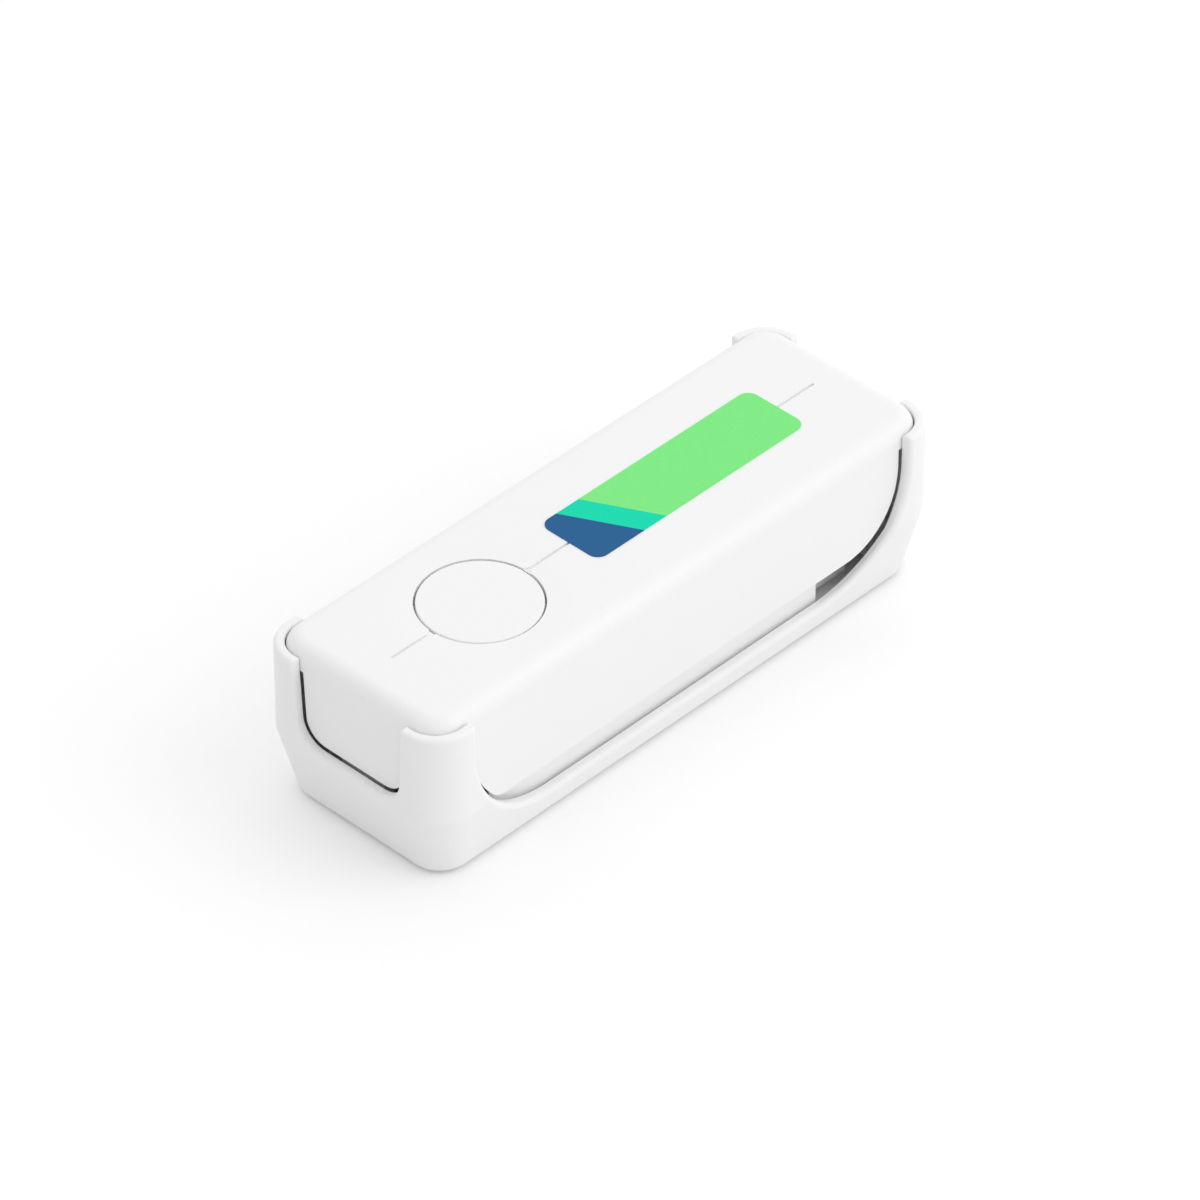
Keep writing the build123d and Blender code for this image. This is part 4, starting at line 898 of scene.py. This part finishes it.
class SMARTBUTTON_OT_dome(bpy.types.Operator):
    """Build the switch's snap dome"""

    bl_idname = "smartbutton.dome"
    bl_label = "Snap dome"

    def execute(self, context):
        low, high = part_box("tact_switch_dome")
        centre = middle("tact_switch_dome")
        radius, height = (high[0] - low[0]) / 2, high[2] - low[2]
        thickness = 0.08 * MM
        rings, steps = 12, 48
        # above 2, the rim is steeper and the crown flatter than a bowl's
        steepness = 2.4
        shares = [i / rings for i in range(rings + 1)]
        top = [(radius * share, height * (1 - share ** steepness)) for share in shares]
        under = [
            ((radius - thickness) * share, (height - thickness) * (1 - share ** steepness))
            for share in reversed(shares)
        ]
        mesh = turned_mesh("snap_dome", top + under, steps)
        mesh.transform(Matrix.Translation((centre.x, centre.y, low[2])))
        # stamped stainless steel: bright, polished by its die
        mesh.materials.append(worked_metal(
            "stainless_dome_stamped", "D2D1CC", roughness=0.14, streak=0.12, stretch=(1, 0.2, 1),
            relief=0.003,
        ))
        piece = add_object("snap_dome", mesh)
        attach(piece, "housing")
        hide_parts("tact_switch_dome")
        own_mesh(piece)
        return {"FINISHED"}


class SMARTBUTTON_OT_screws(bpy.types.Operator):
    """Build the four self-tapping screws with their threads"""

    bl_idname = "smartbutton.screws"
    bl_label = "Screws"

    def execute(self, context):
        looks = context.scene.smart_button_looks
        weld = 0.001 * MM
        # what the thread leaves bare at the head and at the tip
        bare_head, bare_tip = 2.3 * MM, 0.7 * MM
        # the ridge's middle follows the surface of the shank, and sinks in a little towards the tip
        core_radius, tip_radius = 0.8 * MM, 0.76 * MM
        # one screw of the CAD node, moved to the middle, is the seed that the tree threads and copies
        solid = bmesh.new()
        solid.from_mesh(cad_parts["frame_screws"].data)
        bmesh.ops.remove_doubles(solid, verts=solid.verts, dist=weld)
        others = [vert for vert in solid.verts if vert.co.x < 0 or vert.co.y < 0]
        bmesh.ops.delete(solid, geom=others, context="VERTS")
        axis = Vector((SCREW_SPACING[0] / 2, SCREW_SPACING[1] / 2, 0)) * MM
        bmesh.ops.translate(solid, verts=solid.verts, vec=-axis)
        seed = bpy.data.meshes.new("screw_seed")
        solid.to_mesh(seed)
        solid.free()
        low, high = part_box("frame_screws")
        # zinc plated on case-hardened steel: bluish white, dulled by its passivation
        zinc = worked_metal(
            "zinc_plated_screw_steel_rolled", "BFC3C6", roughness=0.32, streak=0.12, stretch=EVEN,
            relief=0.006, tarnish=0.12,
        )
        start = low[2] + bare_head
        turns = (high[2] - bare_tip - start) / looks.thread_pitch
        piece = grow("frame_screws_threaded", seed, thread_tree(), {
            "Spacing X": SCREW_SPACING[0] * MM, "Spacing Y": SCREW_SPACING[1] * MM,
            "Pitch": looks.thread_pitch, "Turns": turns, "Ridge": looks.thread_ridge, "Start": start,
            "Core Radius": core_radius, "Tip Radius": tip_radius, "Material": zinc,
        })
        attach(piece, "housing")
        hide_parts("frame_screws")
        return {"FINISHED"}


class SMARTBUTTON_OT_solder(bpy.types.Operator):
    """Build the solder beads at the leads, the small parts' ends and the module's pads"""

    bl_idname = "smartbutton.solder"
    bl_label = "Solder"

    def execute(self, context):
        looks = context.scene.smart_button_looks
        points = solder_points()
        mesh = bpy.data.meshes.new("solder_seed")
        mesh.from_pydata([place for place, size, turn in points], [], [])
        sizes = mesh.attributes.new("bead_size", "FLOAT_VECTOR", "POINT")
        turns = mesh.attributes.new("bead_turn", "FLOAT_VECTOR", "POINT")
        for i, (place, size, turn) in enumerate(points):
            sizes.data[i].vector = [value * MM for value in size]
            turns.data[i].vector = turn
        # lead-free solder, frozen from a melt: bright where smooth, frosted in patches
        solder = worked_metal(
            "lead_free_solder_reflowed", "CACBCB", roughness=0.28, streak=0.3, stretch=EVEN, relief=0.012,
            tarnish=0.12,
        )
        piece = grow("solder_joints", mesh, solder_tree(), {"Neck": looks.solder_neck, "Material": solder})
        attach(piece, "housing")
        return {"FINISHED"}


class SMARTBUTTON_OT_stage(bpy.types.Operator):
    """Build the floor, the light and the camera"""

    bl_idname = "smartbutton.stage"
    bl_label = "Stage"

    def execute(self, context):
        scene = context.scene
        stage = scene.smart_button_stage
        reach = 3.0
        mesh = bpy.data.meshes.new("studio_floor")
        corners = [(-reach, -reach, 0), (reach, -reach, 0), (reach, reach, 0), (-reach, reach, 0)]
        mesh.from_pydata(corners, [], [(0, 1, 2, 3)])
        floor = add_object("studio_floor", mesh)
        mesh.materials.append(paper_floor())

        world = bpy.data.worlds.new("studio_light")
        scene.world = world
        world.use_nodes = True
        tree = world.node_tree
        tree.nodes.clear()
        direction = add_node(tree, "ShaderNodeTexCoord").outputs["Generated"]
        axes = add_node(tree, "ShaderNodeSeparateXYZ", links={"Vector": direction})
        # weaker towards the near end, as in a light tent that is open in front
        weakest = stage.sky - stage.sky_fall
        level = add_node(
            tree, "ShaderNodeMapRange",
            inputs={"From Min": -1.0, "From Max": 0.0, "To Min": weakest, "To Max": stage.sky},
            links={"Value": axes.outputs["Y"]},
        )
        seen = add_node(
            tree, "ShaderNodeMix", {"data_type": "FLOAT"}, {NUMBER_B: 1.0},
            {0: seen_directly(tree), NUMBER_A: level.outputs["Result"]},
        )
        light = add_node(
            tree, "ShaderNodeBackground", inputs={"Color": (1.0, 1.0, 1.0, 1.0)},
            links={"Strength": seen.outputs[0]},
        )
        add_node(tree, "ShaderNodeOutputWorld", links={"Surface": light.outputs["Background"]})

        # on the right and towards the far end, aimed at the device
        lamp_place = Vector((0.9, 0.55, 0.9))
        lamp = bpy.data.lights.new("soft_box", "AREA")
        lamp.shape = "SQUARE"
        lamp.size = 0.9
        lamp.energy = stage.lamp_power
        box = add_object("soft_box", lamp)
        box.location = lamp_place
        box.rotation_euler = lamp_place.to_track_quat("Z", "Y").to_euler()

        # the point of the top face that is in the middle of the picture
        target = Vector((11.36, -12.75, 26.7)) * MM
        back = Vector((
            math.sin(stage.azimuth) * math.cos(stage.elevation),
            -math.cos(stage.azimuth) * math.cos(stage.elevation),
            math.sin(stage.elevation),
        ))
        data = bpy.data.cameras.new("studio_camera")
        data.sensor_width = 36.0
        data.lens = 240.0
        data.clip_start = 0.01
        camera = add_object("studio_camera", data)
        camera.location = target + back * stage.distance
        camera.rotation_euler = (-back).to_track_quat("-Z", "Y").to_euler()
        scene.camera = camera
        scene.view_settings.view_transform = "Standard"
        return {"FINISHED"}


def seen_directly(tree):
    """1 for rays from the camera and for reflected and refracted ones, which see the white background."""
    path = add_node(tree, "ShaderNodeLightPath")
    seen = path.outputs["Is Camera Ray"]
    for ray in ("Is Glossy Ray", "Is Transmission Ray"):
        seen = add_node(
            tree, "ShaderNodeMath", {"operation": "MAXIMUM"}, links={0: seen, 1: path.outputs[ray]}
        ).outputs[0]
    return seen


def paper_floor():
    """Matt white paper, coated: it takes the soft shadow, and the camera sees the rest of it as white."""
    fibre_width, glow_strength = 1.5, 0.12
    material, tree, place = new_material("matt_paper_coated")
    fibres = add_node(
        tree, "ShaderNodeTexNoise", inputs={"Scale": 1 / (fibre_width * MM), "Detail": 3.0},
        links={"Vector": place},
    )
    tone = add_node(
        tree, "ShaderNodeMix", {"data_type": "RGBA"},
        {COLOUR_A: linear("F1F1F1"), COLOUR_B: linear("F3F3F3")}, {0: fibres.outputs["Fac"]},
    )
    lift = add_node(
        tree, "ShaderNodeMath", {"operation": "MULTIPLY"}, {1: glow_strength}, {0: seen_directly(tree)}
    )
    glow = add_node(tree, "ShaderNodeEmission", links={"Strength": lift.outputs[0]})
    paper = add_node(tree, "ShaderNodeBsdfDiffuse", links={"Color": tone.outputs[COLOUR_MIX]})
    both = add_node(
        tree, "ShaderNodeAddShader", links={0: glow.outputs["Emission"], 1: paper.outputs["BSDF"]}
    )
    add_node(tree, "ShaderNodeOutputMaterial", links={"Surface": both.outputs["Shader"]})
    return material


class SMARTBUTTON_PT_panel(bpy.types.Panel):
    """Lists what the add-on builds"""

    bl_label = "Smart Button"
    bl_space_type = "VIEW_3D"
    bl_region_type = "UI"
    bl_category = "Smart Button"

    def draw(self, context):
        scene = context.scene
        for name, value in (("Looks", scene.smart_button_looks), ("Stage", scene.smart_button_stage)):
            box = self.layout.box()
            box.label(text=name)
            for prop in value.__annotations__:
                box.prop(value, prop)
        for operator in OPERATORS:
            self.layout.operator(operator.bl_idname)


OPERATORS = (
    SMARTBUTTON_OT_case, SMARTBUTTON_OT_label, SMARTBUTTON_OT_boards, SMARTBUTTON_OT_cell,
    SMARTBUTTON_OT_components, SMARTBUTTON_OT_dome, SMARTBUTTON_OT_screws, SMARTBUTTON_OT_solder,
    SMARTBUTTON_OT_stage,
)
CLASSES = (SmartButtonLooks, SmartButtonStage, *OPERATORS, SMARTBUTTON_PT_panel)


def register():
    for cls in CLASSES:
        bpy.utils.register_class(cls)
    bpy.types.Scene.smart_button_looks = bpy.props.PointerProperty(type=SmartButtonLooks)
    bpy.types.Scene.smart_button_stage = bpy.props.PointerProperty(type=SmartButtonStage)


def unregister():
    del bpy.types.Scene.smart_button_stage
    del bpy.types.Scene.smart_button_looks
    for cls in reversed(CLASSES):
        bpy.utils.unregister_class(cls)


def main():
    register()
    bpy.ops.smartbutton.case()
    bpy.ops.smartbutton.label()
    bpy.ops.smartbutton.boards()
    bpy.ops.smartbutton.cell()
    bpy.ops.smartbutton.components()
    bpy.ops.smartbutton.dome()
    bpy.ops.smartbutton.screws()
    bpy.ops.smartbutton.solder()
    bpy.ops.smartbutton.stage()


if __name__ == "__main__":
    main()
